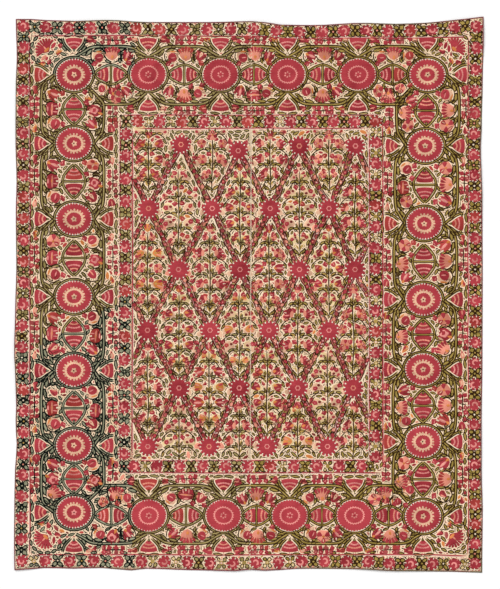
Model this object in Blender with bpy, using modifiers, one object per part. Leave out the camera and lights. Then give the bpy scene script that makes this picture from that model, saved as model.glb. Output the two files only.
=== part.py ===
"""A suzani: an embroidered cover of four hand-woven cotton panels, laid flat.

The four loom widths are sewn edge to edge, and a narrow braid is sewn round the outside.
The cover is drawn lying on a table or floor: most of it touches the surface, and a few
shallow ripples lift it by some millimetres, mostly near its edges.

Frame: metres, +Z up out of the embroidered face, +Y towards the head of the cover.
The origin is under the middle of the cover's box, on the surface that it lies on.
"""

import math
from collections import namedtuple

import bmesh
import bpy

# --- driving dimensions, in metres ---------------------------------------------------------
WIDTH = 1.868            # nominal, before the edge's own unevenness
LENGTH = 2.192
CLOTH_THICKNESS = 0.002  # cotton ground with its dense silk stitching
BRAID_WIDTH = 0.005
BRAID_THICKNESS = 0.003
GAP = 0.0003             # between pieces that are sewn together

ROWS = 44                # steps along the length, about 50 mm each
COLUMNS = 8              # steps across one panel
BRAID_COLUMNS = 2        # steps across the braid

# How far each edge of the cover bulges out from the nominal rectangle, along the edge.
Station = namedtuple("Station", "along bulge")
HEAD_EDGE = (
    Station(-0.934, 0.008), Station(-0.910, 0.010), Station(-0.800, 0.004), Station(-0.700, 0.000),
    Station(-0.555, 0.004), Station(-0.410, -0.004), Station(-0.170, -0.004), Station(0.005, -0.001),
    Station(0.070, -0.006), Station(0.120, -0.015), Station(0.260, -0.016), Station(0.450, -0.007),
    Station(0.600, -0.011), Station(0.700, -0.007), Station(0.830, 0.004), Station(0.934, 0.017),
)
FOOT_EDGE = (
    Station(-0.934, 0.004), Station(-0.800, -0.004), Station(-0.700, -0.001), Station(-0.600, -0.004),
    Station(-0.460, 0.006), Station(-0.410, -0.001), Station(-0.220, 0.005), Station(-0.040, 0.008),
    Station(0.010, 0.002), Station(0.070, 0.007), Station(0.210, -0.001), Station(0.400, 0.000),
    Station(0.600, 0.008), Station(0.800, 0.011), Station(0.934, 0.015),
)
LEFT_EDGE = (
    Station(-1.096, 0.004), Station(-0.960, 0.006), Station(-0.840, 0.005), Station(-0.680, 0.002),
    Station(-0.620, -0.005), Station(-0.510, 0.000), Station(-0.450, -0.003), Station(-0.340, 0.000),
    Station(-0.230, 0.005), Station(-0.060, 0.001), Station(0.110, -0.003), Station(0.330, -0.001),
    Station(0.450, -0.004), Station(0.610, 0.000), Station(0.830, -0.001), Station(0.950, -0.005),
    Station(1.096, -0.001),
)
RIGHT_EDGE = (
    Station(-1.096, -0.001), Station(-0.850, 0.001), Station(-0.700, -0.004), Station(-0.510, -0.004),
    Station(-0.280, 0.000), Station(0.100, 0.001), Station(0.390, -0.001), Station(0.500, -0.005),
    Station(0.570, -0.008), Station(0.670, -0.003), Station(0.840, 0.001), Station(1.000, 0.004),
    Station(1.096, 0.004),
)

# Where the three seams cross the foot and the head of the cover.
Seam = namedtuple("Seam", "foot_x head_x")
SEAMS = (Seam(-0.472, -0.464), Seam(0.004, 0.010), Seam(0.478, 0.476))

# Low ripples where the cloth doesn't touch the surface. Each is a soft ridge: its middle, its
# half length and half width, the direction that it runs in, and how high it lifts the cloth.
Ripple = namedtuple("Ripple", "x y half_length half_width heading_deg lift")
RIPPLES = (
    Ripple(-0.930, -0.240, 0.34, 0.10, 8, 0.0060),
    Ripple(-0.900, 0.700, 0.26, 0.09, -12, 0.0045),
    Ripple(-0.620, 1.090, 0.20, 0.08, 78, 0.0050),
    Ripple(0.060, 1.080, 0.24, 0.09, 62, 0.0065),
    Ripple(0.900, 1.060, 0.22, 0.10, -48, 0.0070),
    Ripple(0.930, 0.480, 0.30, 0.09, 6, 0.0050),
    Ripple(0.930, -0.620, 0.30, 0.08, -5, 0.0040),
    Ripple(0.560, -1.090, 0.24, 0.08, 84, 0.0050),
    Ripple(-0.060, -1.080, 0.20, 0.08, 98, 0.0045),
    Ripple(-0.900, -1.040, 0.18, 0.09, 42, 0.0060),
    Ripple(-0.180, 0.330, 0.30, 0.07, 70, 0.0030),
    Ripple(0.300, -0.420, 0.28, 0.07, 112, 0.0030),
)

# Colours as the cloth and the braid show them: (red, green, blue), linear.
COTTON = (0.80, 0.66, 0.47)
BRAID = (0.20, 0.028, 0.035)


def bulge_at(edge, along):
    """The edge's bulge at a place along it, eased between its stations."""
    if along <= edge[0].along:
        return edge[0].bulge
    for near, far in zip(edge, edge[1:]):
        if along <= far.along:
            share = (along - near.along) / (far.along - near.along)
            eased = share * share * (3 - 2 * share)
            return near.bulge + (far.bulge - near.bulge) * eased
    return edge[-1].bulge


def head_y(x, inset=0.0):
    return LENGTH / 2 + bulge_at(HEAD_EDGE, x) - inset


def foot_y(x, inset=0.0):
    return -LENGTH / 2 - bulge_at(FOOT_EDGE, x) + inset


def left_x(y, inset=0.0):
    return -WIDTH / 2 - bulge_at(LEFT_EDGE, y) + inset


def right_x(y, inset=0.0):
    return WIDTH / 2 + bulge_at(RIGHT_EDGE, y) - inset


def seam_x(seam, y):
    share = (y + LENGTH / 2) / LENGTH
    return seam.foot_x + (seam.head_x - seam.foot_x) * share


def lift_at(x, y):
    """How far the cloth's underside stands off the surface."""
    total = 0.0
    for ripple in RIPPLES:
        heading = math.radians(ripple.heading_deg)
        dx, dy = x - ripple.x, y - ripple.y
        along = (dx * math.sin(heading) + dy * math.cos(heading)) / ripple.half_length
        across = (dx * math.cos(heading) - dy * math.sin(heading)) / ripple.half_width
        far = along * along + across * across
        if far < 1:
            total += ripple.lift * (1 - far) ** 2
    return total


def sheet_object(name, columns, rows, place, thickness, material, collection):
    """A sheet whose underside passes through place(u, v) for u and v from 0 to 1."""
    mesh = bpy.data.meshes.new(name)
    sheet = bmesh.new()
    bmesh.ops.create_grid(sheet, x_segments=columns, y_segments=rows, size=0.5)
    for vertex in sheet.verts:
        x, y = place(vertex.co.x + 0.5, vertex.co.y + 0.5)
        vertex.co = (x, y, lift_at(x, y))
    sheet.to_mesh(mesh)
    sheet.free()
    mesh.materials.append(material)
    made = bpy.data.objects.new(name, mesh)
    collection.objects.link(made)
    solidify = made.modifiers.new("Thickness", "SOLIDIFY")
    solidify.thickness = thickness
    solidify.offset = 1.0  # upwards, so that the underside stays on the surface
    return made


def plain_material(name, colour, roughness):
    material = bpy.data.materials.new(name)
    material.use_nodes = True
    shader = material.node_tree.nodes["Principled BSDF"]
    shader.inputs["Base Color"].default_value = (*colour, 1.0)
    shader.inputs["Roughness"].default_value = roughness
    shader.inputs["Metallic"].default_value = 0.0
    return material


def line_x(number, y):
    """The x of one of the five lines that bound the panels, counted from the left."""
    if number == 0:
        return left_x(y, BRAID_WIDTH + GAP / 2)
    if number > len(SEAMS):
        return right_x(y, BRAID_WIDTH + GAP / 2)
    return seam_x(SEAMS[number - 1], y)


def panel_point(number, u, v):
    """The point of panel 0, 1, 2 or 3 at the shares u of its width and v of its length."""
    nominal_y = (v - 0.5) * LENGTH
    low, high = line_x(number, nominal_y) + GAP / 2, line_x(number + 1, nominal_y) - GAP / 2
    x = low * (1 - u) + high * u
    inset = BRAID_WIDTH + GAP
    return x, foot_y(x, inset) * (1 - v) + head_y(x, inset) * v


def make_panels(material, collection):
    """Four loom widths of cotton, from the left edge to the right one."""
    for number in range(len(SEAMS) + 1):
        sheet_object(
            f"panel_{number + 1}", COLUMNS, ROWS, lambda u, v, n=number: panel_point(n, u, v),
            CLOTH_THICKNESS, material, collection,
        )


def long_side(edge_x, panel, outward):
    """The place of a braid beside an outer panel. Its steps are the panel's, so it follows that edge."""

    def place(u, v):
        x = edge_x((v - 0.5) * LENGTH) - outward * BRAID_WIDTH * (1 - u if outward > 0 else u)
        if v < 0.5 / ROWS:
            return x, foot_y(x)
        if v > 1 - 0.5 / ROWS:
            return x, head_y(x)
        return x, panel_point(panel, max(outward, 0), v)[1]

    return place


def short_side(edge_y, v_of_panels, outward):
    """The place of a braid across the ends of all the panels, between the two long ones."""
    panels = len(SEAMS) + 1

    def place(u, v):
        panel = min(int(u * panels + 0.01), panels - 1)
        x = panel_point(panel, u * panels - panel, v_of_panels)[0]
        return x, edge_y(x) - outward * BRAID_WIDTH * (1 - v if outward > 0 else v)

    return place


def make_braid(material, collection):
    """A narrow braid round the cover: the two long sides run past the ends of the short ones."""
    panels = len(SEAMS) + 1
    strips = (
        ("braid_left", BRAID_COLUMNS, ROWS, long_side(left_x, 0, -1)),
        ("braid_right", BRAID_COLUMNS, ROWS, long_side(right_x, panels - 1, 1)),
        ("braid_head", COLUMNS * panels, BRAID_COLUMNS, short_side(head_y, 1, 1)),
        ("braid_foot", COLUMNS * panels, BRAID_COLUMNS, short_side(foot_y, 0, -1)),
    )
    for name, columns, rows, place in strips:
        sheet_object(name, columns, rows, place, BRAID_THICKNESS, material, collection)


def centre_on_origin(objects):
    """Moves the meshes so that the middle of the cover's box is over the origin."""
    points = [vertex.co for made in objects for vertex in made.data.vertices]
    middle_x = (min(p.x for p in points) + max(p.x for p in points)) / 2
    middle_y = (min(p.y for p in points) + max(p.y for p in points)) / 2
    for made in objects:
        for vertex in made.data.vertices:
            vertex.co.x -= middle_x
            vertex.co.y -= middle_y
    return middle_x, middle_y


def main():
    for old in list(bpy.data.objects):
        bpy.data.objects.remove(old)
    suzani = bpy.data.collections.new("suzani")
    bpy.context.scene.collection.children.link(suzani)
    make_panels(plain_material("cotton_ground", COTTON, 0.9), suzani)
    make_braid(plain_material("edge_braid", BRAID, 0.8), suzani)
    middle = centre_on_origin(list(suzani.objects))
    print("the outline's middle was at", [round(value, 5) for value in middle])


main()
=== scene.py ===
# %% [markdown]
# # Dressing a suzani
#
# A suzani is a large cotton cover, embroidered all over in silk. Its ground is four loom widths
# sewn edge to edge, and each was worked on its own, so the greens jump a little at the seams.
# This notebook dresses the plain solids of such a cover: woven panels, a plaited edge braid, and
# several thousand patches and lines of silk that stand about a millimetre proud.
#
# The solids are loaded first. Everything later is placed from them, and nothing moves them.

# %% The frame
import cmath
import math
import random
from cmath import phase, rect
from collections import namedtuple
from math import pi, radians

import bpy
import numpy as np
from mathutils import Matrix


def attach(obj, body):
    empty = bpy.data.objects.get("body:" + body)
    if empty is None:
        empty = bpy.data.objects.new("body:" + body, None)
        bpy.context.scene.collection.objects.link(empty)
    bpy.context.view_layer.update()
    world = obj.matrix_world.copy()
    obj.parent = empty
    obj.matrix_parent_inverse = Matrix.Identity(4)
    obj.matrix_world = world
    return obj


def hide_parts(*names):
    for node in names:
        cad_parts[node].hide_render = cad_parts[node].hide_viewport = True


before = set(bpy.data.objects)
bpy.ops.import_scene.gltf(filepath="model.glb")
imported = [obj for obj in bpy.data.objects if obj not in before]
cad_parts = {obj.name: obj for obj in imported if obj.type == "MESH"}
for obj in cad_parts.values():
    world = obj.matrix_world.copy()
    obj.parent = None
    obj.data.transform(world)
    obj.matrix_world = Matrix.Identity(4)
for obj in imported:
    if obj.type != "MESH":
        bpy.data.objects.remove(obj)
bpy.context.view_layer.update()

print("solids:", sorted(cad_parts))

# %% [markdown]
# ## Units and the lie of the cloth
#
# Embroiderers' charts are easiest to read in millimetres, so every size below is in millimetres
# from the middle of the cover, with +y towards its head. Only the last step of each piece turns
# them into metres.
#
# The cover lies on the floor, but a few low ripples lift it by some millimetres. They are soft hills
# with an elliptical foot, the same ones as in the solids, and the cell measures how far its formula
# is from the solids' own undersides.

# %% Ripples
MM = 0.001
CLOTH = 2.0  # thickness of the cotton

Ripple = namedtuple("Ripple", "x y half_length half_width heading lift")
RIPPLES = [Ripple(*numbers) for numbers in (
    (-930, -240, 340, 100, 8, 6.0), (-900, 700, 260, 90, -12, 4.5), (-620, 1090, 200, 80, 78, 5.0),
    (60, 1080, 240, 90, 62, 6.5), (900, 1060, 220, 100, -48, 7.0), (930, 480, 300, 90, 6, 5.0),
    (930, -620, 300, 80, -5, 4.0), (560, -1090, 240, 80, 84, 5.0), (-60, -1080, 200, 80, 98, 4.5),
    (-900, -1040, 180, 90, 42, 6.0), (-180, 330, 300, 70, 70, 3.0), (300, -420, 280, 70, 112, 3.0),
)]
DRAWN_MIDDLE = (-0.98, 1.0)  # where the middle of the outline was before the solids were centred


def lift(x, y):
    """How far the underside of the cloth stands off the floor."""
    x, y = np.asarray(x) + DRAWN_MIDDLE[0], np.asarray(y) + DRAWN_MIDDLE[1]
    total = np.zeros(np.broadcast(x, y).shape)
    for ripple in RIPPLES:
        turn = radians(ripple.heading)
        dx, dy = x - ripple.x, y - ripple.y
        along = (dx * math.sin(turn) + dy * math.cos(turn)) / ripple.half_length
        across = (dx * math.cos(turn) - dy * math.sin(turn)) / ripple.half_width
        total += ripple.lift * np.clip(1 - along**2 - across**2, 0, None) ** 2
    return total


def node_points(name):
    """A solid's corners, in millimetres."""
    return np.array([vertex.co[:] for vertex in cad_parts[name].data.vertices]) / MM


corners = node_points("panel_2")
below = corners[corners[:, 2] < lift(corners[:, 0], corners[:, 1]) + CLOTH / 2]
misfit = np.abs(below[:, 2] - lift(below[:, 0], below[:, 1])).max()
print("the formula is within", round(float(misfit), 3), "mm of the solids")

# %% [markdown]
# ## The outline
#
# The edge of a hand-made cover is never straight. The four braid solids hold that outline, so the
# script reads it from them: for each side, the outermost corner at every step along it. Between two
# steps, which are about 50 mm apart, a straight line is near enough.

# %% Edges read from the solids
BRAID_WIDTH = 5.0
GAP = 0.3  # between pieces that are sewn together
STATION_GAP = 5  # corners that are closer than this along a side belong to one step


def outermost(name, along, sign):
    """For a solid: its stations along axis 0 or 1, and its outermost reach at each station."""
    points = node_points(name)
    points = points[np.argsort(points[:, along])]
    next_station = np.flatnonzero(np.diff(points[:, along]) > STATION_GAP) + 1
    stations = np.split(points, next_station)
    outer = np.array([station[np.argmax(sign * station[:, 1 - along])] for station in stations])
    return outer[:, along], outer[:, 1 - along]


EDGES = {
    "left": outermost("braid_left", 1, -1),
    "right": outermost("braid_right", 1, 1),
    "head": outermost("braid_head", 0, 1),
    "foot": outermost("braid_foot", 0, -1),
}


def edge(side, along):
    """How far out the cover reaches on one side: x of a long side, y of the head or foot."""
    return np.interp(along, *EDGES[side])


LENGTH = 2192  # before the edge's own unevenness
Seam = namedtuple("Seam", "foot_x head_x")
SEAMS = (Seam(-472, -464), Seam(4, 10), Seam(478, 476))


def seam(number, y):
    """x of a seam, counted from the left, at y."""
    share = (y + DRAWN_MIDDLE[1] + LENGTH / 2) / LENGTH
    foot_x, head_x = SEAMS[number]
    return foot_x + (head_x - foot_x) * share - DRAWN_MIDDLE[0]


panel_end = node_points("panel_1")[:, 0].max()
print("the first seam at the head is at", round(float(seam(0, LENGTH / 2)), 2), "mm")
print("and the first panel's solid ends at", round(float(panel_end), 2), "mm")

# %% [markdown]
# ## Camera and light
#
# The cover is shown face on, so the camera hangs straight above it on a long lens, which keeps the
# edges free of perspective. One broad sun from the upper left gives every thread a soft side, and an
# even white sky fills the rest. A lamp would light one end of a long cover more than the other, and
# a sun lights both the same.

# %% Camera and light
PICTURE_HEIGHT = 2.356  # metres of floor that the picture shows from top to bottom
PICTURE_MIDDLE = (0.005, 0.001)
LENS, SENSOR = 100.0, 36.0
scene = bpy.context.scene

camera_data = bpy.data.cameras.new("above")
camera_data.lens, camera_data.sensor_width = LENS, SENSOR
camera = bpy.data.objects.new("above", camera_data)
camera.location = (*PICTURE_MIDDLE, CLOTH * MM + PICTURE_HEIGHT * LENS / SENSOR)
scene.collection.objects.link(camera)
scene.camera = camera

sun_data = bpy.data.lights.new("window", "SUN")
sun_data.energy, sun_data.angle = 1.9, radians(24)
sun = bpy.data.objects.new("window", sun_data)
sun.rotation_euler = (radians(-38), radians(-34), 0)
scene.collection.objects.link(sun)

sky = bpy.data.worlds.new("studio")
sky.use_nodes = True
sky.node_tree.nodes["Background"].inputs["Color"].default_value = (1, 1, 1, 1)
sky.node_tree.nodes["Background"].inputs["Strength"].default_value = 0.72
scene.world = sky
scene.view_settings.view_transform = "Standard"
print("camera", round(camera.location.z, 3), "m up")

# %% [markdown]
# ## A plain floor
#
# The cover lies on a plain white floor: one square face, far larger than the picture. It is only
# scenery and no part of the cover. Its finish, like every finish here, starts from the Principled
# shader, with whole-surface values set on the shader's sockets.

# %% Floor
FLOOR = 6.0  # metres from the middle to each side


def new_material(name, **values):
    """A material, its nodes and its shader; an underscore in a value's name stands for a space."""
    material = bpy.data.materials.new(name)
    material.use_nodes = True
    shader = material.node_tree.nodes["Principled BSDF"]
    for socket, value in values.items():
        shader.inputs[socket.replace("_", " ")].default_value = value
    return material, material.node_tree, shader


def laid_out(name, mesh):
    """An object of the scene that shows a mesh."""
    made = bpy.data.objects.new(name, mesh)
    scene.collection.objects.link(made)
    return made


floor_corners = [(-FLOOR, -FLOOR, 0), (FLOOR, -FLOOR, 0), (FLOOR, FLOOR, 0), (-FLOOR, FLOOR, 0)]
floor_mesh = bpy.data.meshes.new("floor")
floor_mesh.from_pydata(floor_corners, [], [(0, 1, 2, 3)])
floor_mesh.materials.append(new_material("floor_white", Base_Color=(0.93, 0.93, 0.93, 1), Roughness=0.9)[0])
floor = laid_out("floor", floor_mesh)
print("floor", 2 * FLOOR, "m square")

# %% [markdown]
# ## The skeins
#
# The silk was dyed in small lots, so no two skeins match. Each has a name here and one colour, as
# the eye sees it. A shader counts light in another way, so the colour is made linear, and divided by
# the light of this scene.

# %% Colours of the skeins
SILKS = {
    "crimson": (176, 54, 62), "scarlet": (178, 60, 54), "rose": (166, 72, 70),
    "pink": (232, 140, 130), "petal": (250, 192, 178), "blush": (254, 226, 202),
    "cream": (254, 219, 186), "salmon": (236, 144, 118), "peach": (232, 180, 144),
    "orange": (222, 130, 62), "mustard": (190, 152, 74), "straw": (246, 206, 146),
    "bark": (58, 36, 4), "plum": (92, 44, 34), "maroon": (126, 48, 42),
    "olive": (168, 142, 66), "sage": (166, 147, 88), "night": (12, 18, 14),
    "mist": (151, 150, 120),
}
LIGHT = 1.10  # how bright a white card looks here


def linear(rgb):
    """A colour as the eye sees it, 0 to 255, as the linear numbers of a shader."""
    return tuple((value / 255) ** 2.2 / LIGHT for value in rgb)


print("silks:", len(SILKS))

# %% [markdown]
# ## Tools for a finish
#
# Silk, cotton and braid use the same few links between nodes: mix two colours by a share, stretch a
# range to 0 to 1, raise the surface by a pattern. Each link is written once here, so that a finish
# reads like a recipe.

# %% Links of a finish
COLOUR_A, COLOUR_B, COLOUR_OUT = 6, 7, 2  # the sockets of a Mix node that are for colours


def node(tree, kind, **values):
    """A new node. A value is set as the node's own setting, or else on the socket of that name."""
    made = tree.nodes.new(kind)
    for name, value in values.items():
        if hasattr(made, name):
            setattr(made, name, value)
        else:
            made.inputs[name.replace("_", " ")].default_value = value
    return made


def pattern(tree, kind, vector, **values):
    """A noise or wave over a vector: how strong it is, from 0 to 1."""
    made = node(tree, kind, **values)
    tree.links.new(vector, made.inputs["Vector"])
    return made.outputs["Fac"]


def ramp(tree, value, low, high):
    """0 to 1 as a value runs from low to high."""
    made = node(tree, "ShaderNodeMapRange", From_Min=low, From_Max=high)
    tree.links.new(value, made.inputs["Value"])
    return made.outputs["Result"]


def mixed(tree, first, second, share, **settings):
    """A colour between two others. The first one is a colour or another node's output."""
    made = node(tree, "ShaderNodeMix", data_type="RGBA", **settings)
    tree.links.new(share, made.inputs[0])
    if isinstance(first, tuple):
        made.inputs[COLOUR_A].default_value = (*first, 1)
    else:
        tree.links.new(first, made.inputs[COLOUR_A])
    made.inputs[COLOUR_B].default_value = (*second, 1)
    return made.outputs[COLOUR_OUT]


def sum_of(tree, operation, first, second, factor=None):
    """Two values put together by a Math node; for MULTIPLY_ADD the first is multiplied by a factor."""
    made = node(tree, "ShaderNodeMath", operation=operation)
    tree.links.new(first, made.inputs[0])
    tree.links.new(second, made.inputs[1 if factor is None else 2])
    if factor is not None:
        made.inputs[1].default_value = factor
    return made.outputs[0]


def raised(tree, shader, height, strength, depth):
    """Lets a pattern stand up from the surface, by a depth in metres."""
    bump = node(tree, "ShaderNodeBump", Strength=strength, Distance=depth)
    tree.links.new(height, bump.inputs["Height"])
    tree.links.new(bump.outputs[0], shader.inputs["Normal"])


print("colour sockets of a Mix node:", COLOUR_A, COLOUR_B, COLOUR_OUT)

# %% [markdown]
# ## Silk
#
# The patches are couched: long floss threads are laid side by side, and short slanting stitches tie
# them down. A plain colour would look like felt, so each silk gets four things from its nodes:
# streaks along the laid thread, slanting ties, a slow drift of the dye over the cover, and a step of
# shade from patch to patch. The streaks, the drift and the steps are partly uneven dye and partly
# painted sheen, and the grooves of the ties are darkened as painted shade. Each patch brings its
# thread's direction in an attribute: millimetres along the thread and across it, and the patch's own
# shade from 0 to 1.

# %% Silk
STREAK = 0.12  # squeezes the noise along the thread, so that a streak is long and narrow
silk_made = {}


def silk(name):
    """The material of one skein."""
    if name in silk_made:
        return silk_made[name]
    material, tree, shader = new_material(
        "silk_" + name, Roughness=0.62, Sheen_Weight=0.03, Sheen_Roughness=0.45, Specular_IOR_Level=0.08)
    link = tree.links.new
    thread = node(tree, "ShaderNodeAttribute", attribute_name="thread").outputs["Vector"]
    parts = node(tree, "ShaderNodeSeparateXYZ")
    link(thread, parts.inputs[0])
    along, across, patch_shade = parts.outputs
    squeeze = node(tree, "ShaderNodeMath", operation="MULTIPLY")
    squeeze.inputs[1].default_value = STREAK
    link(along, squeeze.inputs[0])
    stretched = node(tree, "ShaderNodeCombineXYZ")
    for socket, output in zip(stretched.inputs, (squeeze.outputs[0], across, patch_shade)):
        link(output, socket)
    where = node(tree, "ShaderNodeTexCoord").outputs["Object"]
    dye_and_sheen_streaks = pattern(tree, "ShaderNodeTexNoise", stretched.outputs[0], Scale=0.2, Detail=4.0, Roughness=0.7)
    ties = pattern(tree, "ShaderNodeTexWave", thread, bands_direction="DIAGONAL", Scale=0.085, Distortion=2.0)
    ridges = pattern(tree, "ShaderNodeTexWave", thread, bands_direction="Y", Scale=0.36, Distortion=0.6)
    drift = pattern(tree, "ShaderNodeTexNoise", where, Scale=20.0, Detail=4.0)

    # The shade below mixes the patch's step, the drift and the streaks; its light and dark are partly uneven
    # dye and partly painted sheen.
    shade = sum_of(tree, "MULTIPLY_ADD", patch_shade, drift, 0.38)
    shade = sum_of(tree, "MULTIPLY_ADD", dye_and_sheen_streaks, shade, 0.55)
    colour = linear(SILKS[name])
    grey = sum(colour) / 3
    dark = tuple(value * 0.64 for value in colour)
    # The lighter end is paler and a little greyer: partly uneven dye, partly painted sheen.
    lighter = tuple(min((value * 0.9 + grey * 0.1) * 1.30, 0.95) for value in colour)
    dye_and_sheen = mixed(tree, dark, lighter, ramp(tree, shade, 0.62, 1.33))
    # The grooves of the ties, where the bump below sinks, are darkened: painted shade.
    tie_grooves_shaded = mixed(tree, dye_and_sheen, (0.86, 0.86, 0.86), ramp(tree, ties, 0.35, 0.0), blend_type="MULTIPLY")
    link(tie_grooves_shaded, shader.inputs["Base Color"])
    raised(tree, shader, sum_of(tree, "ADD", ridges, ties), 0.35, 0.0004)
    silk_made[name] = material
    return material


print("crimson has", len(silk("crimson").node_tree.nodes), "nodes")

# %% [markdown]
# ## A hoop
#
# An embroiderer works one hoop at a time. Here a hoop gathers the patches and lines of one kind and
# turns them into one mesh, because ten thousand small objects would be slow to handle.
#
# A point on the cloth is one complex number, x + yj, so to turn a motif is one multiplication and to
# move it is one addition. Everything is made by nesting: rings of points, from the rim inwards, each
# with its height above the cloth. The rim is sunk a little into the cloth, so that no edge floats.

# %% The hoop
SUNK = -0.12  # mm; the rim of every patch goes this far into the cloth
MAP_MARGIN = 0.002  # of the flat map's side, left free round it
hand = random.Random(1871)  # the worker's hand: every uneven stitch is drawn from it, in order
pick, between = hand.choice, hand.uniform


def slip(by):
    """How far a hand goes astray: as a rule less than this."""
    return hand.gauss(0, by)


class Hoop:
    """One kind of stitching, gathered patch by patch, and one mesh at the end."""

    made = []

    def __init__(self, name):
        self.name = name
        self.places, self.heights, self.threads = [], [], []
        self.faces, self.silks = [], []
        self.size = 0
        Hoop.made.append(self)

    def nest(self, rings, heights, silks, grain=0.0, closed=True, shade=None):
        """Rings from the rim inwards, one silk for each but the last; grain is the thread's heading."""
        rings = [np.atleast_1d(np.asarray(ring, complex)) for ring in rings]
        count = len(rings[0])
        if closed and np.sum((rings[0].conj() * np.roll(rings[0], -1)).imag) < 0:
            rings = [ring[::-1] for ring in rings]
        places = np.concatenate(rings)
        along = places * cmath.exp(-1j * grain)
        shade = np.full(len(places), hand.random() if shade is None else shade)
        self.places.append(places)
        levels = [np.broadcast_to(height, len(ring)) for height, ring in zip(heights, rings)]
        self.heights.append(np.concatenate(levels))
        self.threads.append(np.stack([along.real, along.imag, shade], 1))
        first = self.size
        for ring, inner, name in zip(rings, rings[1:], silks):
            second = first + count
            for step in range(count if closed else count - 1):
                after = (step + 1) % count
                if len(inner) == 1:
                    self.faces.append((first + step, first + after, second))
                else:
                    self.faces.append((first + step, first + after, second + after, second + step))
                self.silks.append(name)
            first = second
        self.size += len(places)

    def make(self):
        """Turns what was gathered into a mesh on the cloth, in metres."""
        places = np.concatenate(self.places)
        z = lift(places.real, places.imag) + CLOTH + np.concatenate(self.heights)
        mesh = bpy.data.meshes.new(self.name)
        mesh.from_pydata(np.stack([places.real, places.imag, z], 1) * MM, [], self.faces)
        used = sorted(set(self.silks))
        for name in used:
            mesh.materials.append(silk(name))
        slots = {name: slot for slot, name in enumerate(used)}
        mesh.polygons.foreach_set("material_index", [slots[name] for name in self.silks])
        mesh.polygons.foreach_set("use_smooth", [True] * len(self.faces))
        thread = mesh.attributes.new("thread", "FLOAT_VECTOR", "POINT")
        thread.data.foreach_set("vector", np.concatenate(self.threads).ravel())
        flat_map(mesh)
        made = laid_out(self.name, mesh)
        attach(made, "root")
        return made


def flat_map(mesh):
    """A map straight from above, which is where this cover is looked at from."""
    points = np.empty(len(mesh.vertices) * 3)
    mesh.vertices.foreach_get("co", points)
    points = points.reshape(-1, 3)[:, :2]
    low, high = points.min(0), points.max(0)
    corners = np.empty(len(mesh.loops), dtype=int)
    mesh.loops.foreach_get("vertex_index", corners)
    spots = ((points - low) / (high - low) * (1 - 2 * MAP_MARGIN) + MAP_MARGIN)[corners]
    layer = mesh.uv_layers.new(name="OFBake")
    layer.data.foreach_set("uv", spots.ravel())


print("the rim of a patch is sunk", -SUNK, "mm")

# %% [markdown]
# ## Shapes to cut
#
# Suzani motifs are few: ovals, pointed leaves, drops, shells and scalloped wheels. Each is drawn
# round 0 with its length along x, as a pattern is cut from card before it is laid on the cloth and
# turned. Most points come from sines and cosines, because one number then changes the whole curve.

# %% Shapes
def turns(count, start=0.0):
    """Angles spread evenly over a full turn."""
    return start + np.arange(count) * 2 * pi / count


def oval(length, breadth, count=10):
    angle = turns(count)
    return length / 2 * np.cos(angle) + 1j * breadth / 2 * np.sin(angle)


def leaf(length, breadth, count=8):
    """A lens with two points."""
    angle = turns(count)
    return length / 2 * np.cos(angle) + 1j * breadth / 2 * np.sin(angle) * np.abs(np.sin(angle)) ** 0.35


def drop(length, breadth, count=10):
    """Pointed at the left, round at the right."""
    angle = turns(count)
    swell = ((1 + np.cos(angle)) / 2) ** 0.7
    return length / 2 * np.cos(angle) + 1j * breadth * 0.62 * np.sin(angle) * swell


def block(length, breadth, count=12):
    """A square with round corners."""
    angle = turns(count, pi / count)
    corner = (np.abs(np.cos(angle)) ** 3 + np.abs(np.sin(angle)) ** 3) ** (1 / 3)
    return (length / 2 * np.cos(angle) + 1j * breadth / 2 * np.sin(angle)) / corner * 0.96


def shell(length, breadth, lobes=4):
    """A flower from the side: a narrow foot at the left and lobes along its right-hand rim."""
    rim = np.linspace(-1, 1, lobes * 4 + 1)
    ripple = np.abs(np.cos((rim + 1) * lobes * pi / 2))
    top = 0.52 - 0.13 * ripple - 0.10 * rim**2 + 0.5j * rim
    foot = np.array([-0.14 + 0.42j, -0.38 + 0.24j, -0.5, -0.38 - 0.24j, -0.14 - 0.42j])
    outline = np.concatenate([top, foot])
    return outline.real * length + 1j * outline.imag * breadth


def bud4(length, breadth):
    """A small bloom with four uneven petals."""
    rim = wheel(1.0, 4, 0.16, 16, 0.6) * (1 + 0.10 * np.cos(turns(16) + 1.0))
    return length / 2 * rim.real + 1j * breadth / 2 * rim.imag


def wheel(radius, lobes, depth, count, start=0.0):
    """A circle with a scalloped rim."""
    angle = turns(count)
    return radius * (1 + depth * np.cos(lobes * angle + start)) * np.exp(1j * angle)


def wheel5(length, breadth):
    """A round bloom with five petals."""
    rim = wheel(1.0, 5, 0.09, 15)
    return length / 2 * rim.real + 1j * breadth / 2 * rim.imag


def smooth(points, per_span):
    """A curve that passes through a few points, with so many steps from each to the next."""
    points = [complex(point) for point in points]
    points = [2 * points[0] - points[1], *points, 2 * points[-1] - points[-2]]
    made = []
    for a, b, c, d in zip(points, points[1:], points[2:], points[3:]):
        bend = 2 * a - 5 * b + 4 * c - d
        twist = 3 * b - a - 3 * c + d
        for step in range(per_span):
            t = step / per_span
            made.append(0.5 * (2 * b + (c - a) * t + bend * t**2 + twist * t**3))
    made.append(points[-2])
    return np.array(made)


print("a leaf has", len(leaf(30, 12)), "points, a shell", len(shell(40, 34)))

# %% [markdown]
# ## Stitches
#
# Two stitches do all the work. A patch is a filled shape, with or without a raised outline, which
# stands a little higher than the fill because it is worked last. A line is a narrow ridge along a
# path, for stems, outlines and stripes. Nothing is drawn with a ruler: every patch is nudged, turned
# and swelled by a hair.

# %% Patches
ON_FILL = 0.75  # a detail worked on top of a fill starts this much higher


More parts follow.
